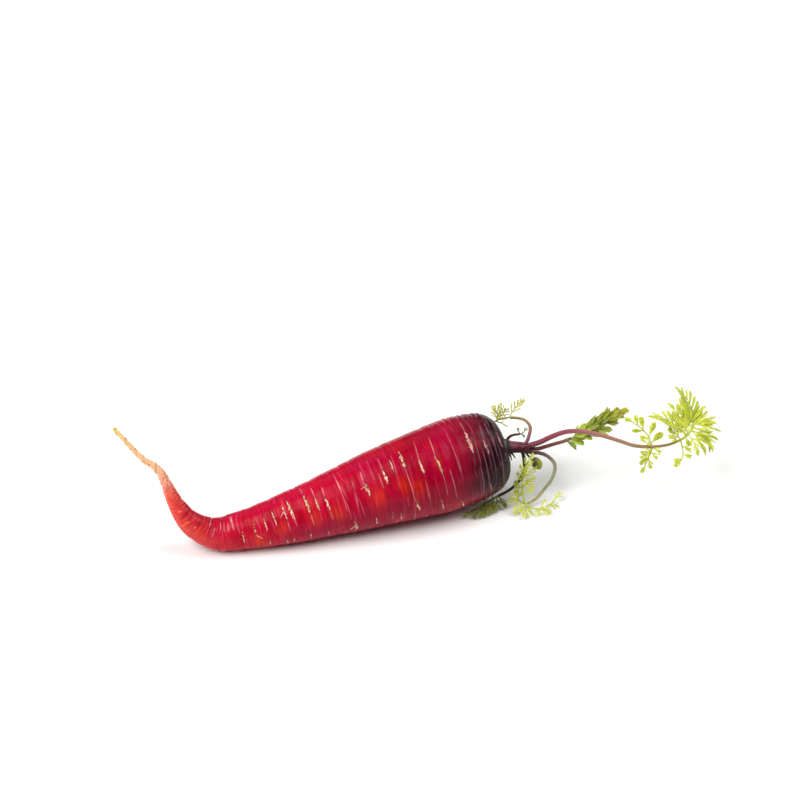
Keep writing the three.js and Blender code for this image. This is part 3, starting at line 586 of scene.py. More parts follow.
def joined(parts):
    """Several (points, quads, fans, values ...) as one, with the faces' numbers moved along."""
    starts = np.cumsum([0] + [len(part[0]) for part in parts])[:-1]
    points = np.vstack([part[0] for part in parts])
    quads = np.vstack([part[1] + start for part, start in zip(parts, starts)])
    fans = np.vstack([part[2] + start for part, start in zip(parts, starts)])
    values = [np.concatenate([part[k] for part in parts]) for k in range(3, len(parts[0]))]
    return points, quads, fans, *values


def side_root_skin():
    """Dried side root: pale, matt and fibrous, pinkish where it leaves the skin."""
    material, tree = new_material("Dry_side_root")
    share = add_node(tree, "Attribute", {"attribute_name": "share"}, give="Fac")
    colour = add_node(tree, "ValToRGB", None, share, stops=[
        (0.0, "#c86070"), (0.3, "#e0a898"), (1.0, "#d8b898"),
    ])
    finish_material(tree, Base_Color=colour, Roughness=0.7)
    return material


wisps = []
t = np.linspace(0, 1, 5)[:, None]
for s, a, length, lean_along, lean_round in SIDE_ROOTS:
    tangent, level, raised = root_route.axes(s)
    out, round_it = spokes(np.radians([a, a + 90]), level, raised)
    foot = root_route.at(s) + out * (np.interp(s, along, radius) - SIDE_ROOT_SUNK)
    lean = lean_along * tangent + lean_round * round_it
    line = foot + length * (out * (0.9 * t - 0.45 * t**2) + lean * t**1.6)
    line[:, 2] = np.maximum(line[:, 2], 0.2)
    points, quads, fans, where = tube(line, SIDE_ROOT_RADII, 6, 10)
    wisps.append((points, quads, fans, where[:, 0]))
points, quads, fans, share = joined(wisps)
make_piece("Side_roots", points, quads, fans, side_root_skin(), "root_flesh", share=share)

# ---- Leaf bases ----
# The fleshy feet of the leaves clasp one another in a short neck that stands on the crown. Round it
# are the dry, blackish stubs of older leaves that were twisted off.

NECK = [[38.2, 0.9, 24.0], [39.4, 0.6, 24.1], [41.0, -0.2, 24.3], [43.2, -1.2, 24.3],
        [45.8, -2.1, 24.1], [48.4, -2.8, 23.9], [50.1, -3.2, 23.8]]
NECK_RADII = [4.3, 3.9, 3.3, 2.9, 2.8, 2.7, 2.6, 2.45, 2.2, 1.5]
STUBS = [
    [[40.8, -1.6, 22.8], [41.8, -3.4, 21.8], [42.4, -4.9, 20.6]],
    [[40.4, -1.0, 22.2], [41.0, -2.4, 20.4], [41.2, -3.6, 18.6]],
    [[40.4, 1.6, 23.6], [41.2, 3.6, 23.2], [41.6, 5.4, 22.5]],
]
STUB_RADII = [0.8, 0.5, 0.35, 0.2]
CLEFT_SHARE = 0.26  # of the neck's radius


def cleft_between_feet(share, turn):
    """1 in the clefts between five feet that wind a little round each other, and 0 on the feet.

    It is the cube of the sine of 2.5 times the angle and 1.1 times the share of the neck's length.
    """
    return np.abs(np.sin(2.5 * turn + 1.1 * share)) ** 3


def clasped(share, turn):
    """Five feet side by side, with clefts a quarter of the radius deep, less so at the crown."""
    return 1.04 - CLEFT_SHARE * cleft_between_feet(share, turn) * np.clip(share * 6, 0.3, 1)


neck_parts = [tube(NECK, NECK_RADII, 60, 56, clasped)]
for foot in STUBS:
    neck_parts.append(tube(foot, STUB_RADII, 10, 12))
stub_start = len(neck_parts[0][0])
points, quads, fans, where = joined(neck_parts)
is_stub = (np.arange(len(points)) >= stub_start).astype(float)


def leaf_base_skin():
    """Fleshy leaf base: smooth maroon skin, a painted pink highlight on top, green-black at the
    crown.
    """
    material, tree = new_material("Purple_leaf_base")
    share, height, stub, cleft = (
        add_node(tree, "Attribute", {"attribute_name": name}, give="Fac")
        for name in ("share", "height", "stub", "cleft")
    )
    place = add_node(tree, "TexCoord", give="Object")
    grain = add_node(tree, "TexNoise", None, place, 900.0, 4.0)  # about 1 mm
    patch = add_node(tree, "TexNoise", None, place, 350.0, 3.0)  # about 3 mm
    wander = add_node(tree, "Math", TIMES_PLUS, patch, 0.3, share)
    colour = add_node(tree, "ValToRGB", None, wander, stops=[
        (0.3, "#1e2018"), (0.42, "#34321f"), (0.52, "#5c3428"), (0.62, "#6c1830"), (0.8, "#601428"),
        (1.0, "#5a1628"),
    ])
    colour = layered(tree, colour, [
        ([(patch, 0.54, 0.7, 0.0, 0.45)], "#a05868"),
        ([(grain, 0.4, 0.7, 0.0, 0.4)], "#907070", "MULTIPLY"),
        # painted highlight: pinker on the top of the neck
        ([(height, 0.3, 0.95, 0.0, 0.75), (wander, 0.75, 0.5)], "#b06478"),
        # painted shade: near black on the underside of the neck
        ([(height, 0.25, -0.6, 0.0, 0.85)], "#20080e"),
        ([(wander, 0.5, 0.36)], "#2c2c1e"),
        # painted shade: darker in the clefts between the feet
        ([cleft, (wander, 0.3, 0.6, 0.3, 0.6)], "#2c0812"),
        ([stub], "#2a2422"),
    ])
    finish_material(tree, Base_Color=colour, Roughness=0.42, Specular_IOR_Level=0.35,
                    Normal=add_node(tree, "Bump", Strength=0.4, Distance=0.0003, Height=grain))
    return material


# height, the sine of the angle round the neck, places the painted highlight and shade
make_piece("Leaf_base_neck", points, quads, fans, leaf_base_skin(), "leaf_base", "leaf_bases",
           share=where[:, 0], height=np.sin(where[:, 1]), stub=is_stub,
           cleft=cleft_between_feet(where[:, 0], where[:, 1]))

# ---- Leaf stalks ----
# Six thin, tough stalks. They are round with fine ridges and a shallow channel on top, purple near
# the root and tan or green further out, with sparse short hairs.

STALKS = {
    # route in mm, foot and end radius, and colours from foot to end
    "leaf_1": ([[47.0, -2.6, 24.2], [50.7, -3.5, 25.3], [54.9, -4.8, 27.0], [60.5, -5.7, 29.5],
                [66.7, -6.7, 31.3], [72.1, -8.6, 31.8], [77.5, -11.4, 31.5], [83.2, -14.9, 30.5],
                [89.9, -18.7, 28.5], [95.6, -22.4, 27.0], [101.8, -25.1, 26.5],
                [103.4, -25.7, 26.5]],
               1.3, 0.8, ["#641a2c", "#7c2438", "#944450", "#a06264", "#a4705e", "#9c7858",
                          "#a07c5c"]),
    "leaf_2": ([[47.0, -2.6, 23.4], [50.9, -2.4, 22.3], [53.9, -4.2, 22.7], [58.2, -4.6, 23.2],
                [62.7, -4.3, 23.3], [67.3, -3.7, 23.0], [70.2, -3.0, 22.8], [71.8, -2.7, 22.9]],
               0.98, 0.8, ["#5a1c30", "#6a2c30", "#804238", "#80502c", "#7c6430"]),
    "leaf_3": ([[46.6, -2.4, 24.6], [48.9, -2.5, 26.9], [51.3, 0.0, 29.0], [52.6, 2.0, 31.0],
                [52.3, 3.8, 32.5], [50.7, 6.7, 33.3], [47.4, 9.4, 33.1], [46.0, 10.4, 32.8]],
               0.85, 0.62, ["#6a2038", "#7a3048", "#8c5048", "#a07850", "#8c7838", "#7c7430"]),
    "leaf_4": ([[40.2, 2.2, 25.2], [41.8, 3.1, 26.9], [43.2, 3.2, 27.9], [45.0, 3.1, 28.2],
                [46.6, 2.9, 28.1], [47.6, 2.8, 28.2]],
               0.8, 0.5, ["#4a2024", "#6a3434", "#5a2c28", "#44302a"]),
    "leaf_5": ([[47.6, -3.4, 23.0], [50.6, -5.1, 22.0], [54.2, -6.3, 21.6], [57.6, -7.8, 20.0],
                [60.2, -10.5, 17.0], [59.7, -12.6, 14.5], [56.9, -14.8, 10.5], [52.9, -16.0, 7.0],
                [49.5, -17.3, 4.6], [47.0, -17.9, 3.5], [45.4, -18.1, 3.1], [44.0, -18.0, 2.8]],
               0.9, 0.62, ["#3a1622", "#4a2028", "#6c5a48", "#8c8a68", "#8c9060", "#909058",
                           "#b0a068", "#b8b060"]),
    "leaf_6": ([[46.2, -2.6, 23.0], [46.8, -4.0, 21.0], [46.8, -5.7, 17.5], [46.0, -7.5, 14.3],
                [44.2, -8.6, 10.8], [40.2, -9.4, 7.2], [37.3, -9.3, 5.3], [33.8, -9.1, 3.8],
                [32.6, -9.1, 3.5]],
               0.85, 0.62, ["#34141c", "#2c1618", "#26181a", "#341c1a", "#4a241c", "#3c2a1c"]),
}
STALK_SLOTS = {"leaf_5": "tan_stalk", "leaf_6": "dark_stalk"}  # the others are purple
RIDGE_SHARE, CHANNEL_SHARE = 0.03, 0.1  # of the stalk's radius
HAIR_RADIUS = 0.05  # mm at its foot
HAIR_LENGTHS = (0.25, 0.7)  # mm, shortest and longest
HAIRS_PER_MM = 9  # of stalk


def ridged(share, turn):
    """Eleven fine ridges, a cosine of 11 times the angle, and a bell-shaped channel on top."""
    channel = bell(turn - np.pi / 2, 0.35) * rise(share, 0, 0.25)
    return 1 + RIDGE_SHARE * np.cos(11 * turn) - CHANNEL_SHARE * channel


def stalk_skin(name, colours):
    """Leaf stalk: tough, satin, finely ridged skin whose purple fades towards the leaf."""
    material, tree = new_material(name)
    share = add_node(tree, "Attribute", {"attribute_name": "share"}, give="Fac")
    place = add_node(tree, "TexCoord", give="Object")
    grain = add_node(tree, "TexNoise", None, place, 500.0, 3.0)  # about 2 mm
    wander = add_node(tree, "Math", TIMES_PLUS, grain, 0.12, share)
    wander = add_node(tree, "Math", {"operation": "SUBTRACT"}, wander, 0.06)
    stops = [(k / (len(colours) - 1), colour) for k, colour in enumerate(colours)]
    colour = add_node(tree, "ValToRGB", None, wander, stops=stops)
    colour = layered(tree, colour, [([(grain, 0.5, 0.7, 0.0, 0.35)], "#404040", "ADD")])
    finish_material(tree, Base_Color=colour, Roughness=0.45)
    return material


def hairs_on(centre, out, length, forward):
    """Fine hairs, all at once: a three-sided cone on each centre, that leans forward by half."""
    side = unit(np.cross(out, forward))
    lean = unit(out + 0.5 * forward)
    turn = np.arange(3) * 2 * np.pi / 3
    foot = centre[:, None] + HAIR_RADIUS * spokes(turn, side[:, None], forward[:, None])
    tip = centre + lean * length[:, None]
    points = np.concatenate([foot, tip[:, None]], 1).reshape(-1, 3)
    start = np.arange(len(centre))[:, None] * 4
    faces = np.array([[0, 1, 3], [1, 2, 3], [2, 0, 3], [0, 2, 1]])
    fans = np.concatenate([start + face for face in faces])
    return points, np.zeros((0, 4), int), fans


for leaf, (line, foot_radius, end_radius, colours) in STALKS.items():
    points, quads, fans, where = tube(line, [foot_radius, end_radius], 33, None, ridged)
    route = Route(line)
    count = int(route.length * HAIRS_PER_MM)
    chance = np.random.default_rng(len(leaf) + count)
    places = chance.uniform(0.12, 1, count) * route.length
    tangent, level, raised = route.axes(places)
    out = spokes(chance.uniform(0, 2 * np.pi, count), level, raised)
    size = np.interp(places / route.length, [0, 1], [foot_radius, end_radius])[:, None] * 0.93
    lengths = chance.uniform(*HAIR_LENGTHS, count)
    hair = hairs_on(route.at(places) + out * size, out, lengths, tangent)
    hair_share = np.repeat(places / route.length, 4)
    points, quads, fans, share = joined([(points, quads, fans, where[:, 0]), (*hair, hair_share)])
    name = leaf.capitalize() + "_stalk"
    make_piece(name + "_skin", points, quads, fans, stalk_skin(name, colours),
               STALK_SLOTS.get(leaf, "purple_stalk"), leaf + "_stalk", share=share)

# ---- Leaves ----
# Each leaf is a thin rib with leaflets that are cut almost to their own ribs into narrow fingers.
# The tissue is soft, under half a millimetre thick, with a vein down each finger.

FINGER_SECTION = np.array([
    # across and up, round a finger's section: a shallow channel on top, a low rib underneath
    [1, 0], [0.72, 0.34], [0.3, 0.46], [0, 0.3], [-0.3, 0.46], [-0.72, 0.34],
    [-1, 0], [-0.72, -0.34], [-0.3, -0.46], [0, -0.62], [0.3, -0.46], [0.72, -0.34],
])
# places along a finger, and its width there, as a share of its widest, for each outline
FINGER_PLACES = np.array([0.0, 0.16, 0.34, 0.52, 0.68, 0.82, 0.93, 1.0])
BLUNT = np.array([0.48, 0.6, 0.76, 0.92, 1.0, 0.9, 0.6, 0.08])
POINTED = np.array([0.5, 0.74, 0.92, 1.0, 0.9, 0.66, 0.34, 0.04])
OVATE = np.array([0.22, 0.62, 0.95, 1.0, 0.86, 0.6, 0.3, 0.04])
OBOVATE = np.array([0.14, 0.34, 0.7, 0.95, 1.0, 0.76, 0.4, 0.05])
BLADE_THICKNESS = 0.42  # mm
FINGER_FOLD = 0.28  # how far its sides rise, as a share of its half width


def fingers(base, ahead, across, length, width, curl, hook, tint, widths):
    """Leaf fingers, all at once.

    base + ahead L u + across (X w + hook L u^2) + up (t Z + fold |X| w + curl L u^2), where u runs
    along a finger of length L and half width w, and (X, Z) round its section. Arrays hold one row
    a finger.
    """
    up = np.cross(ahead, across)
    u = FINGER_PLACES[None, :, None]
    half = (width[:, None] / 2 * widths)[:, :, None]
    x, z = FINGER_SECTION[:, 0], FINGER_SECTION[:, 1]
    thick = BLADE_THICKNESS * (1 - 0.55 * u) * np.clip(width[:, None, None] / 0.9, 0.6, 1)
    lift = thick * z + FINGER_FOLD * np.abs(x) * half + (curl * length)[:, None, None] * u**2
    shift = (hook * length)[:, None, None] * u**2
    points = (
        base[:, None, None]
        + ahead[:, None, None] * (length[:, None, None] * u)[..., None]
        + across[:, None, None] * (half * x + shift)[..., None]
        + up[:, None, None] * lift[..., None]
    )
    count, rings, sides = len(base), len(FINGER_PLACES), len(x)
    first = points[:, 0].mean(1, keepdims=True)
    last = points[:, -1].mean(1, keepdims=True)
    each = rings * sides + 2
    points = np.concatenate([points.reshape(count, -1, 3), first, last], 1)
    quads, fans = ring_faces(rings, sides)
    skip = (np.arange(count) * each)[:, None, None]
    quads, fans = (quads + skip).reshape(-1, 4), (fans + skip).reshape(-1, 3)
    place = np.stack(np.broadcast_arrays(u, np.abs(x), (z < 0) * 1.0), -1)[0].reshape(-1, 3)
    place = np.vstack([place, [0, 0, 0], [1, 0, 0]])
    return points.reshape(-1, 3), quads, fans, np.tile(place, (count, 1)), np.repeat(tint, each)


LEAF_STYLES = {
    # reach factor, share of the reach that is width, narrowest and widest finger in mm, lean at the
    # foot and at the tip in degrees, outline, width of the end finger in mm, where it has one
    "fingered": (1.7, 0.24, 0.95, 1.55, 42, 24, BLUNT, 1.4),
    "spiky": (2.4, 0.15, 0.7, 1.0, 27, 13, POINTED, 0.95),
    "comb": (2.0, 0.16, 0.75, 1.05, 34, 18, BLUNT, 0.9),
    "lacy": (1.8, 0.2, 0.55, 0.85, 44, 26, BLUNT, 0.7),
    "blade": (1.3, 0.36, 0.9, 1.3, 32, 22, BLUNT, 0.0),
    "folded": (2.2, 0.27, 1.4, 2.0, 30, 16, OVATE, 0.0),
}
LEAFLET_RIB_RADII = [0.32, 0.26, 0.16]
LEAFLET_BOW = 0.08  # of its length, outward
FINGERS_START, FINGERS_STRETCH = 0.13, 0.71  # shares of the leaflet's rib
END_FINGER_START = 0.8
LOWEST_TISSUE = 0.05  # mm over the table


def rib_tube(points, radii, tint, sides=12, rings=None):
    """A rib as a closed tube along its points, with the place and tint that leaf tissue reads."""
    points, quads, fans, where = tube(points, radii, sides, rings)
    place = np.stack([where[:, 0] * 0.8, np.full(len(where), 0.1), np.zeros(len(where))], -1)
    return points, quads, fans, place, np.full(len(points), tint)


def leaflet(foot, tip, facing, width, pairs, sweep, chance, style):
    """One leaflet: a bowed rib with pairs of forward fingers, longest near its foot.

    The rib is foot + chord t + (sweep across + bow outward) 4 t (1 - t). A finger reaches less the
    further out it stands, by 0.6 t^1.4. Blades and folded leaflets also have one broad lamina all
    along their rib, and the others end in a finger.
    """
    factor, slim, least, most, lean_foot, lean_tip, outline, end_width = LEAF_STYLES[style]
    chord = tip - foot
    length = np.linalg.norm(chord)
    ahead = chord / length
    across = unit(np.cross(facing, ahead))
    outward = np.cross(ahead, across)

    def rib(t):
        arch = 4 * length * t * (1 - t)
        return foot + chord * t + across * sweep * arch + outward * LEAFLET_BOW * arch

    def along_rib(start, *sizes):
        """The row of one finger from a share of the rib towards the leaflet's tip."""
        base = rib(np.array([[start]]))
        return (base, unit(tip - base), across[None], *np.array([*sizes, whole])[:, None])

    whole = chance.uniform(0, 1)
    parts = [rib_tube(rib(np.linspace(0, 1, 12)[:, None]), LEAFLET_RIB_RADII, whole, 7, 14)]

    share = np.tile((np.arange(pairs) + 0.5) / pairs, 2)
    side = np.repeat([1.0, -1.0], pairs)
    reach = width / 2 * (1 - 0.6 * share**1.4) * chance.uniform(0.85, 1.12, 2 * pairs)
    at = FINGERS_START + FINGERS_STRETCH * (share - 0.2 / pairs)
    at = at + np.where(side > 0, 0, 0.14 / pairs)
    if style == "blade":
        at = 0.5 + 0.22 * share
    slope = unit(rib((at + 0.01)[:, None]) - rib((at - 0.01)[:, None]))
    sideways = unit(np.cross(outward, slope)) * side[:, None]
    lean = lean_foot + (lean_tip - lean_foot) * share + chance.uniform(-6, 6, 2 * pairs)
    lean = np.radians(lean)[:, None]
    tilt = (0.22 + 0.2 * chance.uniform(-1, 1, 2 * pairs))[:, None]
    direction = unit(slope * np.cos(lean) + (sideways + outward * tilt) * np.sin(lean))
    span = np.minimum(reach * factor + 0.6, 0.6 * length)
    wide = np.clip(span * slim, least, most)
    curl = chance.uniform(-0.18, 0.04, 2 * pairs)
    tint = whole + chance.uniform(-0.35, 0.35, 2 * pairs)
    flat = unit(np.cross(outward, direction))
    base = rib(at[:, None]) - direction * 0.15
    rows = [(base, direction, flat, span, wide, curl, -0.14 * side, tint)]
    if end_width:
        end_length = np.linalg.norm(tip - rib(END_FINGER_START))
        rows.append(along_rib(END_FINGER_START, end_length, end_width, -0.04, 0.0))
    else:
        share_of_width, shape = (0.36, OVATE) if style == "folded" else (0.78, OBOVATE)
        lamina = along_rib(0.1, length * 0.88, width * share_of_width, -0.06, sweep * 2)
        parts.append(fingers(*lamina, shape))
    parts.append(fingers(*(np.concatenate(column) for column in zip(*rows)), outline))
    return joined(parts)


def frond(rib_points, leaflets, facing, chance, rib_radii=(0.55, 0.38), style="fingered", rib=True):
    """A rib with its leaflets, [place on it, tip, width, pairs, sweep where bent]."""
    route = Route(rib_points)
    facing = np.array(facing, float)
    parts = [rib_tube(rib_points, rib_radii, 0.1)] if rib else []
    for at, tip, width, pairs, *sweep in leaflets:
        foot = route.at(at * route.length)
        bend = sweep[0] if sweep else chance.uniform(-0.06, 0.06)
        kind = "blade" if pairs < 2 and style == "fingered" else style
        parts.append(leaflet(foot, np.array(tip, float), facing, width, pairs, bend, chance, kind))
    return joined(parts)


def leaf_tissue(name, deep, fresh, pale, tip, far=None):
    """Young leaf tissue: soft, matt, translucent, with a paler vein and underside.

    `far` may give a colour, and the x in metres over which the fresh colour turns to it.
    """
    material, tree = new_material(name)
    place = add_node(tree, "Attribute", {"attribute_name": "place"}, give="Vector")
    outward, across, under = add_node(tree, "SeparateXYZ", None, place).node.outputs
    tint = add_node(tree, "Attribute", {"attribute_name": "tint"}, give="Fac")
    where = add_node(tree, "TexCoord", give="Object")
    cloud = add_node(tree, "TexNoise", None, where, 160.0, 3.0)  # about 6 mm
    grain = add_node(tree, "TexNoise", None, where, 1500.0, 3.0)  # about 0.7 mm
    if far:
        x = add_node(tree, "SeparateXYZ", None, where)
        fresh = layered(tree, fresh, [([(x, *far[1:])], far[0])])
    colour = layered(tree, deep, [
        ([(add_node(tree, "Math", TIMES_PLUS, cloud, 0.8, tint), 0.2, 1.2)], fresh),
        ([(across, 0.22, 0.0, 0.0, 0.4)], pale),
        ([(under, 0.5, 1.0, 0.0, 0.25)], pale),
        ([(outward, 0.82, 1.0, 0.0, 0.55)], tip),
        ([(grain, 0.45, 0.7, 0.0, 0.3)], "#b0b890", "MULTIPLY"),
    ])
    finish_material(
        tree, Base_Color=colour, Roughness=0.48, Subsurface_Weight=0.4,
        Subsurface_Radius=(0.8, 1.0, 0.2), Subsurface_Scale=0.0008,
        Normal=add_node(tree, "Bump", Strength=0.3, Distance=0.0002, Height=grain),
    )
    return material


def make_leaf(name, parts, material, slot, node):
    """A leaf's fronds as one piece, with no point in the table."""
    points, quads, fans, place, tint = joined(parts)
    points[:, 2] = np.maximum(points[:, 2], LOWEST_TISSUE)
    make_piece(name, points, quads, fans, material, slot, node, place=place, tint=tint)


# Leaf 1, the longest: a first pair of leaflets, and a lacy head that opens towards the light.
HEAD_RIB = [[102.4, -25.4, 26.5], [108.9, -27.3, 27.0], [113.2, -28.4, 28.2], [116.8, -28.8, 29.6],
            [119.2, -28.8, 30.8], [121.6, -28.1, 32.1], [123.5, -26.9, 33.7], [124.8, -25.9, 35.2],
            [126.5, -25.4, 36.1]]
HEAD_RIB_RADII = [0.75, 0.7, 0.62, 0.55, 0.42]
HEAD_FACING = [-0.1, -0.62, 0.78]
HEAD = [
    [0.51, [111.3, -26.6, 31.3], 4, 2], [0.55, [112.1, -24.3, 34.5], 6, 3],
    [0.64, [119.3, -32.9, 28.0], 3, 1], [0.65, [103.8, -18.0, 39.1], 8, 6, -0.12],
    [0.67, [111.3, -19.9, 35.3], 5, 3], [0.7, [121.6, -38.4, 25.8], 5, 3],
    [0.71, [115.7, -14.9, 41.8], 6.5, 4], [0.77, [123.6, -16.2, 39.8], 6, 4],
    [0.79, [120.8, -10.6, 47.1], 9, 6, -0.15],
    # and shorter ones between them, that fill the middle of the head
    [0.69, [114.0, -18.5, 38.5], 5, 3], [0.72, [117.5, -22.0, 36.5], 5, 3],
    [0.74, [119.6, -16.5, 41.5], 6, 4], [0.82, [121.5, -15.0, 43.0], 6, 4],
    [0.85, [126.5, -20.0, 38.5], 5, 3],
]
HEAD_END = [
    # the leaflets at its end have longer, narrower and sharper fingers
    [0.78, [128.5, -37.1, 25.1], 7, 5, 0.18], [0.83, [132.1, -30.1, 30.5], 4, 2],
    [0.87, [129.5, -18.8, 39.8], 5, 3], [0.9, [136.0, -32.4, 31.8], 4, 3],
    [0.9, [135.2, -28.3, 34.2], 4, 3], [0.91, [136.2, -25.1, 35.6], 4.5, 3],
    [0.97, [132.6, -20.5, 39.5], 4, 2], [0.8, [130.0, -35.5, 26.5], 5, 4],
    [0.88, [133.0, -22.5, 38.0], 4.5, 3], [0.79, [126.0, -37.5, 24.0], 4.5, 4],
    [0.9, [133.5, -28.0, 33.5], 4, 3], [0.86, [134.0, -34.2, 28.4], 4, 3],
]
HANGING_RIB = [[116.6, -28.7, 29.4], [116.7, -31.0, 26.5], [115.8, -34.0, 24.1],
               [114.2, -35.6, 22.6]]
HANGING = [
    [0.3, [119.9, -33.0, 25.3], 4, 2], [0.7, [118.9, -35.9, 23.6], 4, 2],
    [0.9, [111.4, -34.4, 22.5], 3.5, 2], [0.98, [110.5, -36.7, 21.2], 3, 2],
]
PAIR_FACING = [-0.1, -0.35, 0.93]
PAIR_UP_RIB = [[103.6, -25.4, 26.6], [103.3, -21.2, 29.7], [101.4, -18.1, 32.1],
               [98.6, -14.0, 33.8]]
PAIR_UP = [
    [0.1, [110.5, -21.5, 30.5], 4.5, 2], [0.33, [108.0, -17.5, 34.5], 3.5, 2],
    [0.6, [102.0, -14.0, 36.5], 3.5, 2], [0.82, [100.0, -11.5, 36.0], 3, 1],
    [0.98, [96.0, -10.5, 34.5], 3.5, 1], [0.25, [99.5, -20.0, 29.0], 3, 1],
    [0.56, [96.5, -17.0, 31.0], 3, 1],
]
PAIR_DOWN_RIB = [[103.6, -26.0, 26.4], [101.7, -27.7, 24.1], [100.4, -28.6, 22.2],
                 [98.4, -29.9, 20.0]]
PAIR_DOWN = [
    [0.02, [97.5, -24.5, 31.5], 3.5, 2], [0.1, [96.5, -28.0, 26.5], 3.5, 2],
    [0.22, [96.5, -28.5, 23.5], 3.5, 3], [0.04, [106.0, -29.5, 25.0], 4, 2],
    [0.26, [104.0, -30.5, 22.5], 3, 2], [0.5, [96.0, -29.5, 20.5], 3, 3],
    [0.62, [100.5, -32.0, 19.0], 3, 2], [0.98, [96.0, -31.5, 17.5], 3, 2],
]
yellow_green = leaf_tissue("Young_yellow_green_leaf", "#a4b020", "#d8e040", "#e4e878", "#c0b048")
chance = np.random.default_rng(21)
make_leaf("Leaf_1_head", [
    frond(HEAD_RIB, HEAD, HEAD_FACING, chance, rib=False),
    frond(HEAD_RIB, HEAD_END, HEAD_FACING, chance, style="spiky", rib=False),
    frond(HANGING_RIB, HANGING, HEAD_FACING, chance, (0.4, 0.3)),
    frond(PAIR_UP_RIB, PAIR_UP, PAIR_FACING, chance, (0.4, 0.3), "blade"),
    frond(PAIR_DOWN_RIB, PAIR_DOWN, PAIR_FACING, chance, (0.4, 0.3)),
], yellow_green, "pale_leaf", "leaf_1_blade")

points, quads, fans, where = tube(HEAD_RIB, HEAD_RIB_RADII, 33, None, ridged)
rib_colours = ["#a07c5c", "#927448", "#8c8034", "#a8ac30", "#bcc838", "#c8d43c"]
make_piece("Leaf_1_rib", points, quads, fans, stalk_skin("Leaf_1_rib", rib_colours), "pale_leaf",
           share=where[:, 0])

# Leaf 2, beside it: still half folded, so that its broad leaflets lie over each other.
LEAF_2_RIB = [[68.3, -3.5, 22.9], [70.9, -2.8, 22.8], [76.9, -2.1, 23.4], [83.6, -1.0, 24.2],
              [90.2, 1.0, 25.7], [95.6, 2.7, 27.0], [99.9, 3.0, 27.2]]
LEAF_2 = [
    [0.02, [73.0, -6.2, 19.6], 3.6, 2], [0.08, [77.5, -4.6, 20.2], 4.5, 3],
    [0.15, [82.5, -3.0, 20.6], 6, 3], [0.15, [80.5, -1.0, 27.2], 5.5, 3],
    [0.2, [84.0, -0.5, 28.4], 5.5, 3],
    [0.31, [88.5, -1.5, 20.8], 6.5, 3], [0.31, [87.0, 0.0, 30.0], 6.5, 3],
    [0.46, [93.5, -1.0, 21.5], 6.5, 3], [0.48, [93.5, 2.0, 32.0], 6.5, 3],
    [0.66, [98.0, 1.5, 23.0], 5, 3], [0.68, [98.5, 2.5, 31.0], 5, 3],
    [0.86, [101.5, 2.5, 24.5], 4.5, 2], [0.9, [103.6, 2.5, 27.8], 4.5, 3],
    # and the ones between, folded over each other
    [0.1, [78.5, -3.5, 22.0], 4.5, 3], [0.14, [80.0, -2.5, 24.5], 5, 4],
    [0.26, [84.5, -1.0, 25.0], 5, 4], [0.35, [88.5, 0.5, 27.5], 5.5, 4],
    [0.44, [92.0, 0.5, 24.5], 5, 4], [0.55, [97.0, 2.0, 28.5], 5.5, 4],
    [0.65, [100.0, 2.5, 28.5], 5, 3], [0.75, [101.5, 2.6, 28.0], 5, 3],
]
mid_green = leaf_tissue(
    "Folded_green_leaf", "#58660c", "#acbc38", "#c0cc60", "#a8a030", ("#b8b024", 0.082, 0.1)
)
chance = np.random.default_rng(22)
make_leaf("Leaf_2_frond", [frond(LEAF_2_RIB, LEAF_2, [0, -0.6, 0.8], chance, style="folded")],
          mid_green, "green_leaf", "leaf_2_blade")

# Leaf 3 loops up and back behind the shoulder.
LEAF_3_RIB = [[46.7, 9.9, 32.9], [44.8, 11.1, 32.6], [42.9, 12.7, 31.4], [41.2, 14.7, 29.5],
              [40.0, 16.9, 27.0], [39.6, 18.9, 24.5]]
LEAF_3 = [
    [0.12, [57.5, 21.5, 33.0], 6, 4], [0.25, [45.5, 22.5, 33.0], 4.5, 3],
    [0.42, [42.5, 25.5, 30.0], 5, 4], [0.55, [50.5, 23.5, 27.5], 4.5, 3],
    [0.6, [41.5, 25.0, 26.5], 4.5, 3], [0.7, [45.5, 12.5, 26.0], 3.5, 1],
    [0.8, [48.5, 22.5, 23.0], 4.5, 2], [0.98, [41.0, 24.0, 21.0], 4, 2],
]
chance = np.random.default_rng(23)
olive_yellow = leaf_tissue("Feathery_olive_leaf", "#787810", "#b8b42c", "#b8b850", "#8c8030")
make_leaf("Leaf_3_frond", [
    frond(LEAF_3_RIB, LEAF_3, [0.1, -0.3, 0.95], chance, (0.42, 0.3), "lacy"),
], olive_yellow, "pale_leaf", "leaf_3_blade")

# Leaf 4, a tiny new leaf on the crown.
LEAF_4_RIB = [[47.1, 3.0, 28.2], [48.0, 2.7, 28.1], [49.0, 2.8, 28.2]]
LEAF_4 = [
    [0.2, [47.2, 5.4, 30.0], 2, 1], [0.45, [49.2, 0.3, 27.4], 2, 1],
    [0.9, [52.0, 4.6, 29.4], 2.6, 1],
]
olive = leaf_tissue("Dark_olive_leaf", "#344008", "#90982c", "#a4a848", "#989838")
chance = np.random.default_rng(24)
make_leaf("Leaf_4_frond", [frond(LEAF_4_RIB, LEAF_4, [0, -0.3, 0.95], chance, (0.4, 0.3), "lacy")],
          olive, "olive_leaf", "leaf_4_blade")

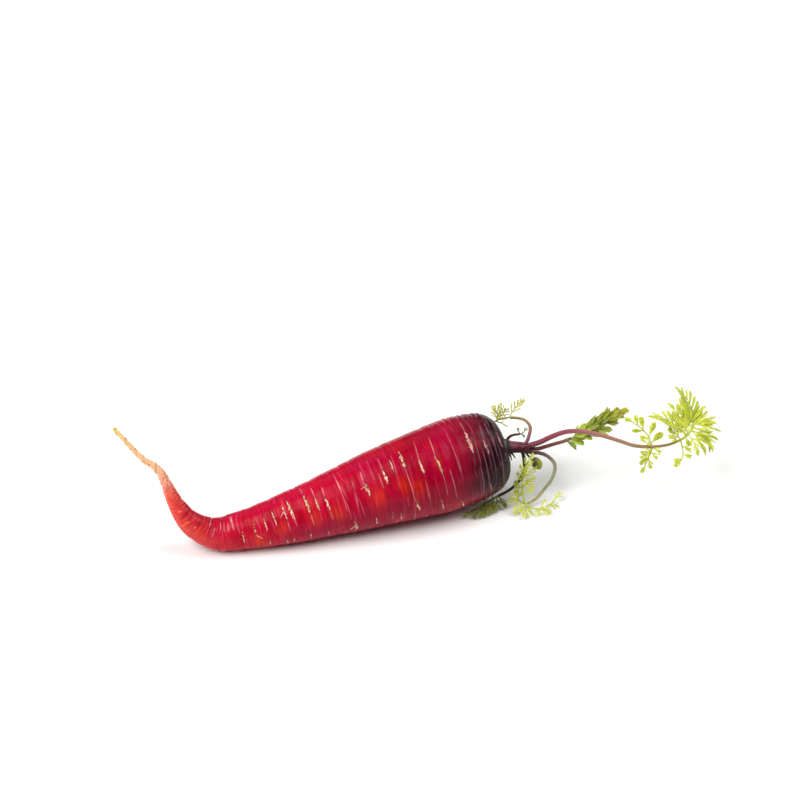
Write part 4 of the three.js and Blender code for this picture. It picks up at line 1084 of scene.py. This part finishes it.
# Leaf 5 arches down to the table in front, and its leaflets spread there.
LEAF_5_RIB = [[44.8, -18.1, 2.9], [43.2, -17.9, 2.6], [42.2, -17.0, 2.5], [41.3, -15.9, 2.7],
              [40.2, -14.8, 3.4]]
LEAF_5 = [
    [0.98, [38.9, -13.2, 13.0], 4, 3], [0.9, [34.5, -15.5, 4.5], 4.5, 2],
    [0.6, [36.0, -21.5, 1.2], 5.5, 3], [0.35, [40.5, -26.0, 1.0], 6.5, 3],
    [0.95, [35.5, -15.5, 9.0], 3.5, 2],
]
LEAF_5_UPRIGHT_RIB = [[42.6, -17.4, 2.5], [42.7, -13.6, 10.2], [45.1, -11.0, 17.9],
                      [48.3, -9.8, 23.6]]
LEAF_5_UPRIGHT = [
    [0.9, [49.4, -9.5, 25.6], 1.8, 3], [0.78, [45.4, -9.0, 23.4], 2.2, 2],
    [0.66, [49.4, -10.0, 21.0], 2.4, 3], [0.62, [42.8, -9.8, 20.2], 2.6, 3],
    [0.52, [51.0, -11.4, 18.2], 3.4, 3], [0.46, [41.2, -10.7, 16.8], 3.0, 3],
    [0.36, [49.8, -13.1, 13.8], 3.6, 3], [0.3, [39.2, -12.0, 13.0], 3.4, 3],
    [0.2, [48.4, -14.9, 9.4], 3.6, 3], [0.15, [38.6, -13.6, 8.6], 3.4, 3],
    [0.3, [45.6, -13.7, 14.6], 3.4, 3], [0.5, [45.8, -11.4, 19.4], 3.0, 3],
]
LEAF_5_SIDE_RIB = [[43.4, -18.0, 2.5], [45.0, -21.0, 1.8], [48.5, -22.3, 1.5], [53.0, -21.8, 1.6],
                   [57.0, -19.8, 2.2]]
LEAF_5_SIDE = [
    [0.3, [46.5, -26.5, 1.0], 4, 2], [0.45, [52.0, -26.5, 1.0], 4, 3],
    [0.5, [53.0, -18.5, 2.6], 3, 1], [0.7, [57.5, -23.5, 1.3], 4, 2],
    [0.98, [61.0, -17.5, 4.0], 4, 2],
]
chance = np.random.default_rng(25)
make_leaf("Leaf_5_frond", [
    frond(LEAF_5_RIB, LEAF_5, [-0.25, -0.5, 0.83], chance, (0.5, 0.35), "lacy"),
    frond(LEAF_5_UPRIGHT_RIB, LEAF_5_UPRIGHT, [-0.25, -0.85, 0.45], chance, (0.42, 0.2), "lacy"),
    frond(LEAF_5_SIDE_RIB, LEAF_5_SIDE, [-0.25, -0.5, 0.83], chance, (0.36, 0.25), "lacy"),
], yellow_green, "pale_leaf", "leaf_5_blade")

# Leaf 6, older and darker, lies on the table under the shoulder.
LEAF_6_RIB = [[33.0, -9.1, 3.6], [29.8, -9.5, 2.8], [25.5, -10.6, 2.1], [21.1, -11.6, 1.7],
              [17.2, -12.8, 1.4]]
LEAF_6 = [
    [0.04, [33.5, -15.5, 1.3], 4.5, 3], [0.18, [27.5, -17.5, 0.9], 5, 3],
    [0.34, [23.0, -18.5, 0.9], 5, 3], [0.5, [19.0, -18.5, 0.9], 5, 3],
    [0.7, [16.0, -17.5, 0.9], 4.5, 3], [0.98, [13.0, -15.5, 0.9], 4, 2],
    [0.2, [30.5, -4.0, 1.6], 3.5, 2], [0.1, [30.5, -16.5, 1.4], 4.0, 2],
    [0.26, [25.5, -18.0, 1.4], 4.0, 2], [0.42, [21.0, -18.6, 1.2], 4.0, 2],
]
chance = np.random.default_rng(26)
make_leaf("Leaf_6_frond", [frond(LEAF_6_RIB, LEAF_6, [0, -0.2, 0.98], chance, style="comb")],
          olive, "olive_leaf", "leaf_6_blade")

# ---- Young leaf ----
# A leaf that has not opened: its leaflets are still folded on each other in a pleated oval, green
# on the lit side and purple-brown at its foot.

YOUNG_STALK = [[47.8, -3.6, 22.4], [48.6, -4.5, 21.0], [49.6, -5.4, 19.6], [51.5, -6.5, 17.4]]
YOUNG_STALK_RADII = [0.55, 0.45]
YOUNG_LEAF = [[50.9, -6.1, 19.3], [51.9, -6.8, 17.7], [53.2, -7.9, 15.4], [54.0, -8.8, 13.7]]
YOUNG_LEAF_RADII = [0.3, 1.5, 2.15, 2.5, 2.6, 2.5, 2.1, 1.4, 0.3]
PLEAT_SHARE = 0.1  # of the leaf's radius


def pleated(share, turn):
    """Seven shallow pleats, a squared cosine of 3.5 times the angle, that fade at both ends."""
    return 1 - PLEAT_SHARE * np.cos(3.5 * turn) ** 2 * np.sin(np.pi * np.clip(share, 0, 1))


def folded_leaf_skin():
    """Folded young leaf: soft green pleats that turn purple-brown towards the foot."""
    material, tree = new_material("Folded_young_leaf")
    share = add_node(tree, "Attribute", {"attribute_name": "share"}, give="Fac")
    place = add_node(tree, "TexCoord", give="Object")
    x = add_node(tree, "SeparateXYZ", None, place)
    cloud = add_node(tree, "TexNoise", None, place, 400.0, 3.0)  # about 2.5 mm
    lit_side = add_node(tree, "Math", TIMES_PLUS, cloud, 0.0016, x)
    colour = layered(tree, "#5c4424", [
        ([(lit_side, 0.0518, 0.0538)], "#8c9c1c"),
        ([(share, 0.2, 0.0)], "#5a3a20"),
    ])
    finish_material(tree, Base_Color=colour, Roughness=0.48,
                    Normal=add_node(tree, "Bump", Strength=0.3, Distance=0.0003, Height=cloud))
    return material


stalk = tube(YOUNG_STALK, YOUNG_STALK_RADII, 12, 16)
stalk[3][:, 0] *= 0.1  # so that all of it has the colour of the leaf's foot
oval = tube(YOUNG_LEAF, YOUNG_LEAF_RADII, 49, 30, pleated)
points, quads, fans, where = joined([stalk, oval])
make_piece("Young_folded_leaf", points, quads, fans, folded_leaf_skin(), "green_leaf", "young_leaf",
           share=where[:, 0])

# ---- Table, light and camera ----
# A plain white table under large soft lights, as in a product studio. The camera looks down on it
# from a little way round towards the tail.

TABLE_HALF = 3.0  # metres
SOFT_BOXES = [
    # name, place, target and size in metres, watts
    ("Soft_box_left", (-1.1, -0.15, 1.4), (0, 0, 0), (1.3, 1.3), 34),
    ("Soft_box_right", (1.2, -0.1, 1.35), (0, 0, 0), (1.3, 1.3), 25),
    ("Soft_box_behind", (0.1, 1.35, 1.1), (0, 0, 0.05), (3.0, 1.1), 6),
    ("Soft_box_low", (-1.5, -0.1, 0.4), (-0.1, 0, 0), (0.7, 0.7), 3),
]
ROOM_LIGHT = 0.06
LENS, SENSOR_WIDTH = 100, 36  # mm
CAMERA_PLACE = (-0.287055, -0.750248, 0.690909)
CAMERA_TARGET = (0.015401, 0.080744, 0)


def table_paper():
    """White table paper: matt and very pale."""
    material, tree = new_material("White_table_paper")
    finish_material(tree, Base_Color="#f4f4f3", Roughness=0.75, Specular_IOR_Level=0.2)
    return material


def aimed(name, data, place, target):
    """A lamp or camera at its place, with its own -Z turned to the target."""
    aimed_object = bpy.data.objects.new(name, data)
    aimed_object.location = place
    aimed_object.rotation_mode = "QUATERNION"
    back = Vector(place) - Vector(target)
    aimed_object.rotation_quaternion = back.to_track_quat("Z", "Y")
    bpy.context.scene.collection.objects.link(aimed_object)
    return aimed_object


table_mesh = bpy.data.meshes.new("Table")
corners = [(x * TABLE_HALF, y * TABLE_HALF, 0) for x, y in ((-1, -1), (1, -1), (1, 1), (-1, 1))]
table_mesh.from_pydata(corners, [], [(0, 1, 2, 3)])
table_mesh.materials.append(table_paper())
table = bpy.data.objects.new("Table", table_mesh)
bpy.context.scene.collection.objects.link(table)

for name, place, target, size, watts in SOFT_BOXES:
    light = bpy.data.lights.new(name, "AREA")
    light.shape = "RECTANGLE"
    light.size, light.size_y = size
    light.energy = watts
    aimed(name, light, place, target)

world = bpy.data.worlds.new("Studio")
bpy.context.scene.world = world
world.use_nodes = True
world.node_tree.nodes["Background"].inputs[0].default_value = (1, 1, 1, 1)
world.node_tree.nodes["Background"].inputs[1].default_value = ROOM_LIGHT

camera_data = bpy.data.cameras.new("Camera")
camera_data.lens = LENS
camera_data.sensor_width = SENSOR_WIDTH
camera_data.clip_end = 20
bpy.context.scene.camera = aimed("Camera", camera_data, CAMERA_PLACE, CAMERA_TARGET)
bpy.context.scene.view_settings.view_transform = "Standard"
